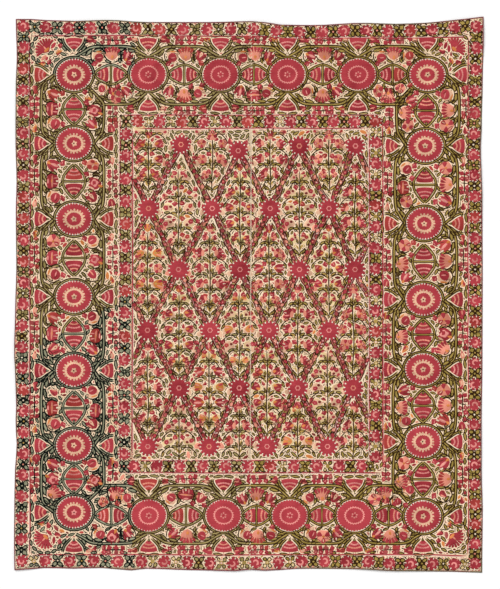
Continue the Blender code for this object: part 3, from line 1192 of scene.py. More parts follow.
# %% Kinds of flowers
# each part: shape, x, y, length, breadth, heading in degrees, silk
KINDS = {
    "wedge": (
        (shell, 0, 0, 46, 44, 0, "red"), (leaf, 3, 2, 32, 11, 10, "pink"), (leaf, 4, 2, 22, 4, 10, "peach"),
        (leaf, 2, -12, 22, 4.5, -14, "maroon"), (drop, -15, -2, 16, 11, 180, "orange"),
        (drop, 17, -11, 13, 6, 160, "cream"), (drop, 17, 12, 13, 6, 200, "cream"),
    ),
    "block": (
        (block, 0, 0, 42, 54, 0, "red"), (leaf, -1, 0, 44, 8, 88, "salmon"),
        (oval, -1, 2, 16, 5, 88, "orange"), (leaf, 11, 10, 17, 4.5, 8, "pink"),
        (leaf, 11, -9, 17, 4.5, -6, "pink"), (oval, -14, 0, 6, 18, 0, "pink"),
        (drop, 18, 1, 12, 7, 180, "cream"),
    ),
    "cup": (
        (shell, 0, 0, 48, 48, 0, "peach"), (oval, 4, -5, 35, 35, 20, "red"),
        (leaf, -7, 15, 24, 7, 30, "orange"), (leaf, 6, -4, 20, 6, 40, "pink"),
        (leaf, 1, -12, 18, 4, 10, "maroon"),
    ),
    "split": (
        (wheel5, 0, 0, 50, 40, 0, "salmon"), (oval, 12, 8, 20, 17, 20, "red"),
        (oval, -11, 7, 19, 17, -20, "red"), (oval, 3, -12, 17, 12, 0, "red"),
        (drop, -8, -8, 14, 8, 200, "orange"), (leaf, 0, 2, 14, 5, 60, "peach"),
    ),
    "square": (
        (shell, 0, 0, 50, 47, 0, "red"), (bud4, 2, -2, 27, 25, 20, "pink"),
        (bud4, 4, -4, 17, 14, 60, "red"), (drop, -16, 8, 19, 11, 160, "orange"),
        (leaf, 13, 15, 20, 7, -30, "peach"),
    ),
    "triangle": (
        (shell, 0, 0, 44, 44, 0, "red"), (drop, 3, 0, 27, 15, 0, "peach"), (oval, 8, 0, 10, 6, 0, "red"),
        (leaf, 0, 14, 18, 5, 20, "salmon"), (leaf, 0, -14, 18, 4.5, -20, "maroon"),
    ),
    "comb": (
        (shell, 0, 0, 48, 50, 0, "salmon"), (drop, 8, 19, 19, 10, 36, "red"),
        (drop, 12, 10, 21, 10.5, 16, "red"), (drop, 13, 0, 22, 10.5, 0, "red"),
        (drop, 12, -10, 21, 10.5, -16, "red"), (drop, 8, -19, 19, 10, -36, "red"),
        (oval, -12, 0, 12, 9, 0, "orange"),
    ),
    "blossom": (
        (wheel5, 0, 0, 48, 46, 0, "salmon"), (drop, 12, 0, 21, 18, 0, "red"),
        (drop, -6, 12, 21, 18, 118, "red"), (drop, -6, -12, 21, 18, -118, "red"),
        (oval, 0, 0, 8, 8, 0, "orange"), (leaf, 14, 0, 12, 4, 10, "peach"),
    ),
    "bud": (
        (drop, 0, 0, 34, 26, 0, "red"), (drop, -3, 5, 22, 7, 14, "salmon"),
        (leaf, 3, -5, 16, 4, -10, "maroon"),
    ),
    "flame": (
        (drop, 0, 0, 36, 24, 0, "orange"), (drop, 2, 4, 22, 11, 10, "red"), (oval, 8, -5, 8, 6, 0, "peach"),
    ),
    "paisley": (
        (drop, 0, 0, 40, 22, 0, "salmon"), (drop, 3, 0, 20, 9, 0, "peach"), (oval, -8, 0, 9, 5, 0, "red"),
    ),
    "tulip": ((shell, 0, 0, 36, 34, 0, "red"), (leaf, 4, 0, 22, 7, 0, "salmon")),
    "spark": ((bud4, 0, 0, 25, 21, 0, "red"), (leaf, 2, 3, 12, 4, 20, "pink")),
    "crescent": (
        (bud4, 0, 0, 37, 40, 0, "red"), (oval, -12, 0, 15, 27, 0, "salmon"),
        (leaf, 6, 8, 20, 5, 20, "pink"), (leaf, 5, -9, 18, 4.5, -30, "maroon"),
        (drop, 15, -1, 12, 5, 180, "cream"),
    ),
    "pair": (
        (leaf, 0, 0, 44, 27, 0, "peach"), (wheel5, 8, 4, 21, 19, 20, "red"),
        (oval, -9, -5, 13, 11, 0, "maroon"), (oval, 9, 4, 6, 5, 0, "pink"),
    ),
    "eyed": (
        (shell, 0, 0, 38, 36, 0, "red"), (drop, -8, 2, 18, 13, 190, "orange"),
        (leaf, 5, -6, 17, 5, 40, "pink"), (leaf, 4, 8, 17, 4.5, -25, "maroon"),
    ),
    "ember": (
        (shell, 0, 0, 40, 38, 0, "orange"), (drop, 4, 9, 24, 12, 20, "red"),
        (drop, 4, -8, 22, 9, -20, "salmon"), (oval, -8, 0, 9, 7, 0, "mustard"),
    ),
}
print("kinds of flowers:", ", ".join(KINDS))

# %% [markdown]
# ## Working a flower
#
# Each part of a flower lies a little higher than the one before, as stitches worked over others do.
# Two tendrils go round a flower. Tiny flowers, clusters of eight and curled tips of vine fill what
# is left.

# %% Flowers and small things
flowers = Hoop("border_flowers")
hearts = Hoop("border_flower_hearts")
GROWN = 1.14  # the flowers are worked this much larger than the table says


def flower(kind, at, heading, size, bodies=flowers, details=hearts):
    """One flower of a kind, opening towards its heading; its reds come from one skein."""
    skein = red(at)
    size = size * GROWN
    turn = rect(size, heading)
    for number, (shape, x, y, length, breadth, degrees, name) in enumerate(KINDS[kind]):
        spot = at + turn * complex(x, y)
        piece = shape(length * size, breadth * size)
        lean = heading + radians(degrees)
        fill = skein if name == "red" else name
        if number == 0:
            patch(bodies, piece, spot, lean, fill, height=0.7)
        else:
            patch(details, piece, spot, lean, fill, height=0.4, on=0.5 + 0.12 * number)


def cup_of_vine(at, heading, radius):
    """Two tendrils that rise from a flower's foot and bend round it."""
    dark = greens(at)[0]
    foot = rect(radius, heading + pi)
    for sign in (-1, 1):
        sweep = np.linspace(0, between(1.9, 2.5), 8) * sign
        path = at + foot * np.exp(1j * sweep) * (1 + 0.05 * np.sin(sweep * 2))
        line(vines, path, 4.4 * bold(at), dark, height=0.8)
        patch(leaves, oval(6.5, 6, 6), path[-1], 0, dark, height=0.6)
        leaf_at(path[4] + 6.5 * (path[4] - at) / radius, phase(path[5] - path[3]), 24, 10)


def tiny_flower(at, size):
    """Four red petals, now and then a pink eye, and two leaves."""
    fill = red(at)
    patch(flowers, wheel(9.0 * size, 4, 0.26, 16), at, between(0, 6), fill, height=0.7)
    if hand.random() < 0.4:
        patch(hearts, oval(5 * size, 5 * size, 6), at, 0, "pink", height=0.4, on=ON_FILL)
    lean = between(0, 6)
    for angle in (lean, lean + pi):
        spot = at + rect(14 * size, angle)
        patch(leaves, leaf(13 * size, 6 * size, 6), spot, angle, greens(at)[0])


def cluster(lay, x, y, apart):
    """Eight red flowers, close together, round a small cross of stems."""
    dark = greens(lay.spot(x, y))[0]
    wide = 4.4 * bold(lay.spot(x, y))
    line(vines, smooth(lay.path([(x, y + 52), (x + 1, y), (x - 1, y - 44)]), 3), wide, dark, height=0.85)
    line(vines, lay.path([(x - apart - 8, y - 3), (x, y), (x + apart + 8, y + 2)]), wide, dark, height=0.85)
    for along in (38, 15, -15, -37):
        for across in (-apart, apart):
            spot = lay.spot(x + across + between(-1, 1), y + along + between(-4, 4))
            petals = bud4(between(19, 23), between(17, 21))
            hue = pick((red(spot), "crimson", "rose"))
            patch(flowers, petals, spot, between(0, 6), hue, height=0.7)
            if hand.random() < 0.5:
                patch(hearts, leaf(9, 4.5, 6), spot, between(0, 6), "pink", height=0.4, on=ON_FILL)


def curl(at, heading, size=1.0):
    """A vine tip that curls in on itself, with a grain of green in it."""
    dark, pale = greens(at)
    sweep = np.linspace(0, 5.2, 11)
    path = at + rect(1, heading) * np.exp(1j * sweep) * (11 - sweep * 1.5) * size
    line(vines, path, np.linspace(5, 3.2, 11), dark, height=0.85)
    patch(leaves, oval(6 * size, 5 * size, 6), at, 0, pale)


print("a flower has up to", max(len(parts) for parts in KINDS.values()), "parts")

# %% [markdown]
# ## The wide border
#
# From one great rosette to the next, the border repeats a bay. A vine with long leaves frames each
# side of it, a medallion stands in the middle with three flowers on either side, and clusters of
# tiny flowers fill the strips beside the guards. At the corners of the cover the inner frames of two
# sides meet in one vine that forks. The charts were set down in round numbers: one for a bay of a
# long side, and one, a little narrower, for a bay of the head or foot.

# %% Charts of a bay
Leaf = namedtuple("Leaf", "x y heading length breadth")
SIDE_LEAVES = [Leaf(*numbers) for numbers in (
    # inside the frame, outer half
    (-84, 96, 0, 32, 13), (-62, 84, -50, 26, 11), (-78, 34, -28, 30, 12), (-74, -32, 0, 38, 14),
    (-54, -14, 60, 26, 11), (-50, -40, -65, 28, 12), (-94, -78, -45, 30, 12), (-66, -92, 10, 28, 11),
    (-56, 40, -50, 24, 10), (-48, 92, 30, 26, 11),
    # inside the frame, inner half
    (60, 94, 24, 28, 11), (88, 28, 15, 30, 12), (68, -38, -18, 32, 12), (98, -48, -50, 28, 11),
    (40, -64, -50, 30, 12), (56, 6, 65, 24, 10), (52, -84, 35, 26, 11), (34, 88, -35, 24, 10),
    (50, 46, 55, 24, 10), (94, -92, 20, 26, 11),
    # outside the frame
    (-168, 72, 92, 30, 12), (-148, 66, 55, 24, 10), (-168, -54, 75, 30, 12), (-148, -50, 120, 24, 10),
    (-170, 108, 60, 26, 10), (-146, 116, 115, 26, 10), (-146, -112, 65, 26, 10),
    (-170, -104, 100, 26, 10), (134, 70, 75, 28, 12), (166, 58, 110, 26, 11), (140, -38, 50, 26, 11),
    (168, -40, 95, 30, 12), (136, 112, 60, 26, 10), (170, 104, 95, 28, 11), (170, -100, 85, 28, 11),
    (132, -114, 120, 26, 10),
)]
ROW_LEAVES = [Leaf(*numbers) for numbers in (
    (-72, 78, 60, 28, 11), (-56, 34, 20, 26, 11), (-54, -14, 70, 26, 11), (-88, -32, 75, 28, 11),
    (-60, -62, 120, 26, 11), (-86, 40, 100, 24, 10), (-52, 96, 35, 24, 10), (-54, -96, -35, 24, 10),
    (66, 82, 120, 28, 11), (56, 32, -20, 26, 11), (70, 28, 85, 26, 11), (58, -30, 20, 28, 12),
    (90, -34, 80, 36, 12), (90, 42, 95, 34, 12), (52, -92, 40, 26, 10), (56, -62, 70, 22, 10),
    (-150, 52, 95, 28, 11), (-148, -70, 85, 28, 11), (-130, 102, 60, 26, 10), (-130, -104, 120, 26, 10),
    (136, 62, 65, 28, 11), (136, -62, 115, 26, 11), (154, 70, 90, 28, 11), (154, -66, 92, 28, 11),
    (134, 100, 115, 26, 10), (134, -100, 65, 26, 10), (-92, 66, 60, 26, 11), (100, -24, 95, 28, 11),
)]
Bloom = namedtuple("Bloom", "x y heading size")
SIDE_BLOOMS = (Bloom(-83, 64, -35, 1.03), Bloom(-87, 0, 0, 1.05), Bloom(-82, -62, 35, 1.05),
               Bloom(76, 64, 170, 0.95), Bloom(86, -10, 180, 1.0), Bloom(74, -64, 130, 0.95))
ROW_BLOOMS = (Bloom(-74, -50, 60, 0.98), Bloom(-84, 6, 180, 1.12), Bloom(-74, 66, 150, 0.95),
              Bloom(66, -62, -20, 0.98), Bloom(84, 0, 0, 1.12), Bloom(70, 58, 30, 0.95))
SIDE_TINY = ((-152, 74), (-168, -56), (142, 76), (168, -60))
ROW_TINY = ((-140, 74), (-132, -66), (148, 84), (138, -82))
print("leaves in a bay:", len(SIDE_LEAVES), "and", len(ROW_LEAVES))

# %% [markdown]
# ## Vines, frames and medallions
#
# Every vine is three lines side by side: dark, green, dark. One broad patch with a rim would cost
# less, but a cord's rims stand higher than its green, and their shadow is what makes it a cord. A
# vine is worked in short stretches, so that each takes the green of its place.

# %% Vines and medallions
def vine(path, side, gap, outer, green, inner, as_bold=False):
    """A dark, a green and a dark line; the second dark one is on the path's left for side 1."""
    across = 1j * ahead_of(path) * side
    for start in range(0, len(path) - 1, 6):
        part = slice(start, start + 7)
        dark, pale = greens(path[part][len(path[part]) // 2])
        thick = bold(path[start]) if as_bold else 1
        line(vines, (path - across * gap)[part], outer * thick, dark, height=0.9, blunt=True)
        line(vines, path[part], green, pale, height=0.55, blunt=True)
        line(vines, (path + across * gap)[part], inner * thick, dark, height=0.9, blunt=True)


def frame_vine(path, middle):
    """One side of a bay's frame: a vine with long leaves close along its inner side."""
    ahead = ahead_of(path)
    half_way = len(path) // 2
    inner = math.copysign(1, ((middle - path[half_way]) * ahead[half_way].conjugate()).imag)
    vine(path, inner, 4.8, 4.6, 6.4, 4.6 * 0.7, as_bold=True)
    reach = np.concatenate([[0], np.cumsum(np.abs(np.diff(path)))])
    for number, at_reach in enumerate(np.arange(20, reach[-1] - 12, 46)):
        spot = np.interp(at_reach, reach, path)
        turn = np.interp(at_reach, reach, ahead)
        lean = phase(turn) + between(0.08, 0.28) * inner
        leaf_at(spot + 1j * turn * 13.5 * inner, lean, 40, 14.5)
        if number % 3 == 1:
            leaf_at(spot - 1j * turn * 13 * inner, phase(turn) - 0.35 * inner, 28, 11)


def medallion(lay, half, length):
    """Two fans base to base in a lens of vine, and a bar of vine between them."""
    for sign in (-1, 1):
        lens = [(0, 67), (sign * 16, 54), (sign * (half + 4), 25), (sign * (half + 10), 1),
                (sign * (half + 4), -25), (sign * 16, -56), (0, -69)]
        vine(smooth(lay.path(lens), 4), 1, 4.0, 4.4, 6.0, 4.4)
    roundness = 0.95 if lay.turn == 1 else 0.8
    for y, towards in ((58, -90), (-60, 90)):
        fan(lay.spot(0, y), lay.heading(towards), length, half, roundness, outlined=False)
    bar = [(-half - 8, 0), (0, -1), (half + 8, 0)]
    vine(smooth(lay.path(bar), 3), 1, 3.6, 3.8, 5.4, 3.8)
    dark, pale = greens(lay.at)
    for x in (-half - 14, half + 14):
        patch(leaves, oval(11, 10, 8), lay.spot(x, 0), 0, pale, outline=dark, wide=3.4, height=0.7)


print("hoops so far:", len(Hoop.made))

# %% [markdown]
# ## One bay and its knots
#
# A bay is laid in working order: frame, medallion, leaves, flowers with their tendrils, and last the
# small things of the strips. A knot is what stands beside a great rosette: a fan and eight leaves.

# %% A bay
# the clusters beside the inner guard: their middle, and half their breadth
INNER_STRIP = {"left": (155, 12), "right": (148, 9), "head": (144, 9), "foot": (146, 9)}


def bay(at, side, stretch, kinds, outer_kinds, corner):
    """One bay of the border: kinds are its six flowers, outer_kinds the four beside the guards.

    At a corner of the cover, at the upper (1) or lower (-1) end of the bay, the inner frames of two
    sides meet: one vine springs from the great rosette and forks into both.
    """
    row = side in ACROSS
    lay = Lay(at, side, stretch)
    outer, inner = (112, 120) if row else (131, 119)
    low, knee, shoulder = ((74, 142), 112, 84) if row else ((78, 152), 124, 94)
    fork = [(0, 0), (0, 29)] if row else [(0, 0), (-1, 24), (-21, 52), (-39, 72), (-57, 92)]
    for sign, half in ((-1, outer), (1, inner)):
        arm = [(half, 0), (half, 46), (half - 5, shoulder), (half - 22, knee), low]
        forked = [(half + x, y) for x, y in fork]
        up = forked if sign > 0 and corner > 0 else arm
        down = forked if sign > 0 and corner < 0 else arm
        frame_path = [(sign * x, y) for x, y in reversed(up)] + [(sign * x, -y) for x, y in down[1:]]
        frame_vine(smooth(lay.path(frame_path), 6), lay.at)
    medallion(lay, 29 if row else 35, 50 if row else 52)
    for leaf_spot in ROW_LEAVES if row else SIDE_LEAVES:
        spot = lay.spot(leaf_spot.x, leaf_spot.y)
        leaf_at(spot, lay.heading(leaf_spot.heading), leaf_spot.length, leaf_spot.breadth)
    for kind, bloom in zip(kinds, ROW_BLOOMS if row else SIDE_BLOOMS):
        x, y, size = bloom.x, bloom.y, bloom.size
        if bloom.x > 0 and bloom.y * corner > 50:
            x, y, size = (55, corner * 32, 0.8) if row else (59, corner * 44, 0.9)
        elif bloom.x > 0 and corner and row and abs(bloom.y) < 20:
            x, y = 88, -corner * 20
        spot = lay.spot(x, y)
        flower(kind, spot, lay.heading(bloom.heading), size * (0.94 if row else 1))
        cup_of_vine(spot, lay.heading(bloom.heading), 31 * size)
    for x, y in ROW_TINY if row else SIDE_TINY:
        tiny_flower(lay.spot(x, y), between(0.85, 1.15))
    cluster(lay, -138 if row else -159, 6, 8.5 if row else 10.5)
    if not (row and corner):
        middle, apart = INNER_STRIP[side]
        cluster(lay, middle, 2 - 34 * corner, apart)
    for x, y, heading in ((-46, 70, 60), (42, 74, 120), (50, 26, 160), (-44, -66, -60)):
        flower("spark", lay.spot(x, y), lay.heading(heading), 0.9)
    strip = 140 if row else 156
    spots = ((-strip, 90, 80), (-strip, -84, -100), (strip - 4, 78, 95), (strip - 6, -84, -80))
    for kind, (x, y, heading) in zip(outer_kinds, spots):
        flower(kind, lay.spot(x, y), lay.heading(heading), 0.85)
    curl(lay.spot(-strip - 12, -60), lay.heading(40))
    curl(lay.spot(strip + 14, -54), lay.heading(120))
    curl(lay.spot(70 if row else 88, 34), lay.heading(200), 0.8)


def knot(at, side, sign):
    """The fan on the outer (-1) or inner (+1) side of a great rosette, and the leaves round it."""
    row = side in ACROSS
    lay = Lay(at, side)
    start, length, half = (94, 53, 35) if row else (102, 57, 30)
    fan(lay.spot(sign * start, 0), lay.heading(0 if sign > 0 else 180), length, half, 1.05, (0.34, 0.58))
    for turn in (-1, 1):
        for x, y, heading, long, broad in (
            (start + length + 9, 22, 90 + 8 * turn * sign, 40, 12),
            (start + 10, 40, turn * sign * 40, 30, 11),
            (start - 12, 42, turn * sign * 66, 30, 11),
            (start + 40, 56, turn * sign * 62, 26, 10),
        ):
            leaf_at(lay.spot(sign * x, turn * y), lay.heading(heading), long, broad)


print("clusters beside the inner guard:", INNER_STRIP)

# %% [markdown]
# ## The order of the flowers
#
# No two bays are alike, so their flowers are listed one by one. Each line is one bay, from the head
# down or from the left: three outer flowers, three inner ones, and after the bar the four in the strips.

# %% Bays
SIDE_KINDS = {
    "left": (
        "wedge block cup flame square wedge | bud flame tulip tulip",
        "wedge block cup split square triangle | bud paisley paisley tulip",
        "blossom block cup cup square tulip | flame bud paisley flame",
        "wedge block triangle cup block wedge | paisley paisley bud paisley",
        "bud block cup cup block triangle | bud flame paisley tulip",
        "wedge square comb cup square bud | cup paisley flame bud",
    ),
    "right": (
        "cup comb blossom wedge comb split | tulip bud tulip flame",
        "blossom comb wedge cup block blossom | paisley bud tulip paisley",
        "wedge comb cup blossom comb wedge | bud flame bud tulip",
        "blossom square comb cup comb flame | tulip paisley flame bud",
        "blossom comb wedge wedge comb cup | paisley tulip tulip flame",
        "wedge comb bud blossom comb cup | flame bud paisley tulip",
    ),
    "head": (
        "cup comb wedge cup split wedge | paisley tulip tulip bud",
        "cup comb triangle wedge comb cup | flame tulip tulip paisley",
        "cup comb wedge wedge block cup | flame bud bud tulip",
        "wedge comb triangle cup comb wedge | paisley tulip flame bud",
        "cup comb cup split comb blossom | paisley tulip flame tulip",
    ),
    "foot": (
        "cup square wedge blossom comb cup | bud paisley tulip flame",
        "wedge comb cup cup block triangle | tulip bud paisley bud",
        "cup comb cup wedge comb wedge | flame tulip bud tulip",
        "cup blossom wedge cup comb triangle | bud paisley tulip bud",
        "wedge comb cup blossom comb cup | tulip flame paisley tulip",
    ),
}
for side, places in SIDES.items():
    last = len(places) - 1
    for number, (at, after) in enumerate(zip(places, places[1:])):
        kinds, outer_kinds = (names.split() for names in SIDE_KINDS[side][number].split("|"))
        corner = -1 if number == 0 else 1 if number == last - 1 else 0
        corner = corner if side in ACROSS else -corner
        bay((at + after) / 2, side, abs(after - at) / 300, kinds, outer_kinds, corner)
    for number, at in enumerate(places):
        knot(at, side, -1)
        if 0 < number < last:
            knot(at, side, 1)
print("border:", leaves.size + vines.size + flowers.size + hearts.size, "points")

# %% [markdown]
# ## Corners
#
# In each outer corner of the wide border a comb of crimson rays opens towards the corner of the
# cover, out of an orange cup, with an arch of leaves round it and a few buds.

# %% Corner palmettes
palmettes = Hoop("corner_palmettes")
CORNERS = (complex(-823, 995), complex(837, 999), complex(-827, -985), complex(829, -981))


def palmette(at):
    """A comb of ten rays on a cup, with leaves round it, buds and curls behind it."""
    out = phase(complex(math.copysign(1, at.real), math.copysign(1, at.imag)))
    rays = 10
    rim = []
    for ray in range(rays):
        middle = (ray - (rays - 1) / 2) * 0.29
        for lean, reach in ((-0.125, 24), (-0.115, 46), (0.0, 49), (0.115, 46), (0.125, 24)):
            rim.append(rect(reach + slip(0.8), middle + lean))
    rim = np.array([*rim, -5 + 12j, -12 + 0j, -5 - 12j])
    turn = rect(1, out)
    base = at - 22 * turn
    rings = [base + turn * rim * share for share in (1, 0.93)] + [[base + turn * 8]]
    palmettes.nest(rings, [SUNK, 0.7, 0.9], ["crimson", "crimson"], out)
    patch(hearts, oval(14, 26, 10), base, out, "orange", height=0.6, on=0.6)
    patch(hearts, leaf(22, 8, 8), base + 10 * turn, out, "salmon", on=0.7)
    for step in range(-4, 5):
        angle = out + step * 0.44
        leaf_at(base + rect(64, angle), angle + pi / 2, 27, 12)
    for step in (-2.4, -1.2, 1.2, 2.4):
        spot = at + rect(70, out + pi + step * 0.35)
        flower(pick(("flame", "spark", "bud")), spot, out + step, 0.8)
    for step in (-1, 1):
        curl(at + rect(62, out + pi + step * 0.2), out + step, 0.9)


for at in CORNERS:
    palmette(at)
print("palmettes:", len(CORNERS))

# %% [markdown]
# ## The lattice
#
# The field inside the guards is a trellis: rosettes stand where its bands cross, six rows of them,
# each shifted by half a step. A band is maroon between dark and pale lines, with a close row of small
# flowers along it. The rows wander, since the four loom widths were worked apart and sewn together
# afterwards, so each crossing is placed one by one.

# %% Lattice rosettes and bands
Field = namedtuple("Field", "left right head foot")
FIELD = Field(-459, 477, 663, -660)
LATTICE = (
    (-271 + 601j, -42 + 576j, 202 + 595j, 427 + 595j),
    (-401 + 345j, -146 + 345j, 86 + 345j, 321 + 345j),
    (-281 + 101j, -35 + 101j, 203 + 101j, 425 + 101j),
    (-405 - 142j, -155 - 142j, 81 - 142j, 321 - 142j),
    (-279 - 373j, -38 - 373j, 196 - 373j, 418 - 373j),
    (-404 - 607j, -159 - 607j, 73 - 607j, 315 - 607j),
)
crossings = Hoop("lattice_rosettes")
crossing_dots = Hoop("lattice_rosette_dots")
bands = Hoop("lattice_bands")
band_flowers = Hoop("lattice_band_flowers")
band_leaves = Hoop("lattice_band_leaves")
CLEAR = 38  # from the middle of a crossing to where the bands' flowers stop


def lattice_rosette(at, radius):
    """A crimson rosette of fourteen petals, each with a pale dot, and a pale star in the middle."""
    petals = 14
    angle = turns(petals * 6)
    start = between(0, 0.4)
    rim = radius * (0.94 + 0.08 * np.cos(petals * (angle - start)))
    rings = [at + rim * np.exp(1j * angle) * share for share in (1, 0.95, 0.2)] + [[at]]
    crossings.nest(rings, [SUNK, 0.9, 1.15, 1.0], ["crimson"] * 3)
    for petal in range(petals):
        turn = start + (petal + 0.5) * 2 * pi / petals
        spot = at + rect(radius * 0.83, turn)
        patch(crossing_dots, oval(7.5, 6, 6), spot, turn, "blush", on=1.0)
    star = at + wheel(8.5, 6, 0.14, 18)
    pale = pick(("pink", "salmon", "pink"))
    line(crossing_dots, star, 4.4, pale, height=0.5, closed=True, on=1.1)


def band(start, end, end_clear=True):
    """A band of the trellis from a rosette to another one, or to the guard (end_clear False)."""
    length = abs(end - start)
    ahead = (end - start) / length
    across = 1j * ahead
    if across.imag < 0:
        across = -across
    count = max(round(length / 22), 2)
    path = start + ahead * np.linspace(0, length, count + 1)
    path = path + across * np.array([slip(1.6) for _ in path])
    wide = np.array([between(18, 24) for _ in path])
    line(bands, path, wide, "maroon", height=0.4, blunt=True)
    for sign in (-1, 1):
        slips = np.array([slip(1.0) for _ in path])
        rim = path + across * sign * (wide / 2 + 0.5 + slips)
        line(bands, rim, 3.8, pick(("plum", "bark")), height=0.7)
        within = path + across * sign * (wide / 2 - 4 + slips)
        line(bands, within, 3.2, pick(("salmon", "petal")), height=0.7)
    if hand.random() < 0.8:
        line(bands, path - across * 15.8, 3.6, "cream", height=0.5, blunt=True)
    first = CLEAR
    last = CLEAR if end_clear else 0
    number = max(round((length - first - last) / 23), 1)
    for step in range(number):
        reach = first + (step + 0.5) / number * (length - first - last)
        spot = start + ahead * reach + across * ((-2 if step % 2 else 2) + slip(1.2))
        lean = phase(ahead) + slip(0.3)
        fill = pick(("crimson", "rose", "rose", "crimson", "salmon"))
        body = pick((bud4, leaf, wheel5))(between(21, 25), between(15, 18))
        edging = pick(("plum", "plum", "bark"))
        patch(band_flowers, body, spot, lean, fill, outline=edging, wide=2.8, height=0.6, on=0.35)
        for sign in (-1, 1):
            beside_it = spot + ahead * 11.5 + across * sign * between(3.5, 6.5)
            turned = lean + sign * 0.6
            colour = pick((greens(spot)[1], "salmon", greens(spot)[1], "bark", "petal"))
            patch(band_leaves, leaf(13, 6.5, 6), beside_it, turned, colour, height=0.6, on=0.5)
        if hand.random() < 0.5:
            pale = pick(("pink", "salmon", "petal"))
            patch(band_leaves, oval(6.4, 5, 6), spot, 0, pale, height=0.4, on=1.0)


print("a band's flowers stop", CLEAR, "mm from the middle of a crossing")

# %% Trellis
STEEPNESS = 250 / 120  # of the half bands that run from an outer crossing to the guard
NEAR_GUARD = 90  # a crossing that is closer than this to the guard sends half bands to it


def trellis():
    """All bands between neighbouring crossings, and the half bands at both sides of the field."""
    for upper, lower in zip(LATTICE, LATTICE[1:]):
        for at in upper:
            for below in lower:
                if abs(at.real - below.real) < 180:
                    band(at, below)
    for number, row in enumerate(LATTICE):
        for at in row:
            for limit in (FIELD.left, FIELD.right):
                rise = 1j * abs(limit - at.real) * STEEPNESS
                if abs(limit - at.real) < NEAR_GUARD:
                    if number > 0:
                        band(at, limit + 1j * at.imag + rise, end_clear=False)
                    if number < len(LATTICE) - 1:
                        band(at, limit + 1j * at.imag - rise, end_clear=False)


trellis()
for row in LATTICE:
    for at in row:
        lattice_rosette(at, between(40, 45))
print("crossings:", sum(len(row) for row in LATTICE))

# %% [markdown]
# ## Plants in the lattice
#
# Every diamond of the trellis holds a plant: a stem up the middle, pairs of leaves that arch out and
# droop, and pairs of flowers between them, some with a pale halo. It is built level by level up its
# stem. Each level asks how much room the diamond leaves on either side and puts only as much there
# as fits, so one recipe fills every diamond, also those that the guards cut off.

# %% Room, leaves and flowers of a plant
stems = Hoop("plant_stems")
plant_leaves = Hoop("plant_leaves")
plant_flowers = Hoop("plant_flowers")
plant_hearts = Hoop("plant_flower_hearts")
HALF_HEIGHT, HALF_WIDTH = 246, 120  # of a diamond, between the middles of its crossings


def room(centre, y, sign):
    """How far a diamond reaches from its stem to one side, at a height."""
    crossings_beside = [abs(at.real - centre.real) for row in LATTICE for at in row
                        if abs(at.imag - centre.imag) < 30 and (at.real - centre.real) * sign > 0]
    half_width = min(crossings_beside, default=HALF_WIDTH)
    free = (1 - abs(y - centre.imag) / HALF_HEIGHT) * half_width - 24
    to_edge = FIELD.right - centre.real if sign > 0 else centre.real - FIELD.left
    return min(free, to_edge - 8)


def plant_leaf(at, degrees, length, breadth):
    """A leaf of a plant, unless it would run into the guard."""
    if FIELD.foot + 6 < at.imag < FIELD.head - 6:
        dark, pale = greens(at)
        shape = leaf(length * 1.05, breadth * 1.1)
        fill = pick((pale, pale, pale, "mustard"))
        patch(plant_leaves, shape, at, radians(degrees), fill, outline=dark, wide=4.3, height=0.55)


def bloom_on_plant(kind, at, heading, size):
    """A flower of a plant, unless it would run into the guard."""
    if FIELD.foot + 24 * size < at.imag < FIELD.head - 24 * size:
        flower(kind, at, heading, size, plant_flowers, plant_hearts)


def mirrored(degrees, sign):
    """A heading on the stem's right side, or its mirror image on the left side."""
    return degrees if sign > 0 else 180 - degrees


print("a diamond is", 2 * HALF_WIDTH, "by", 2 * HALF_HEIGHT, "mm")

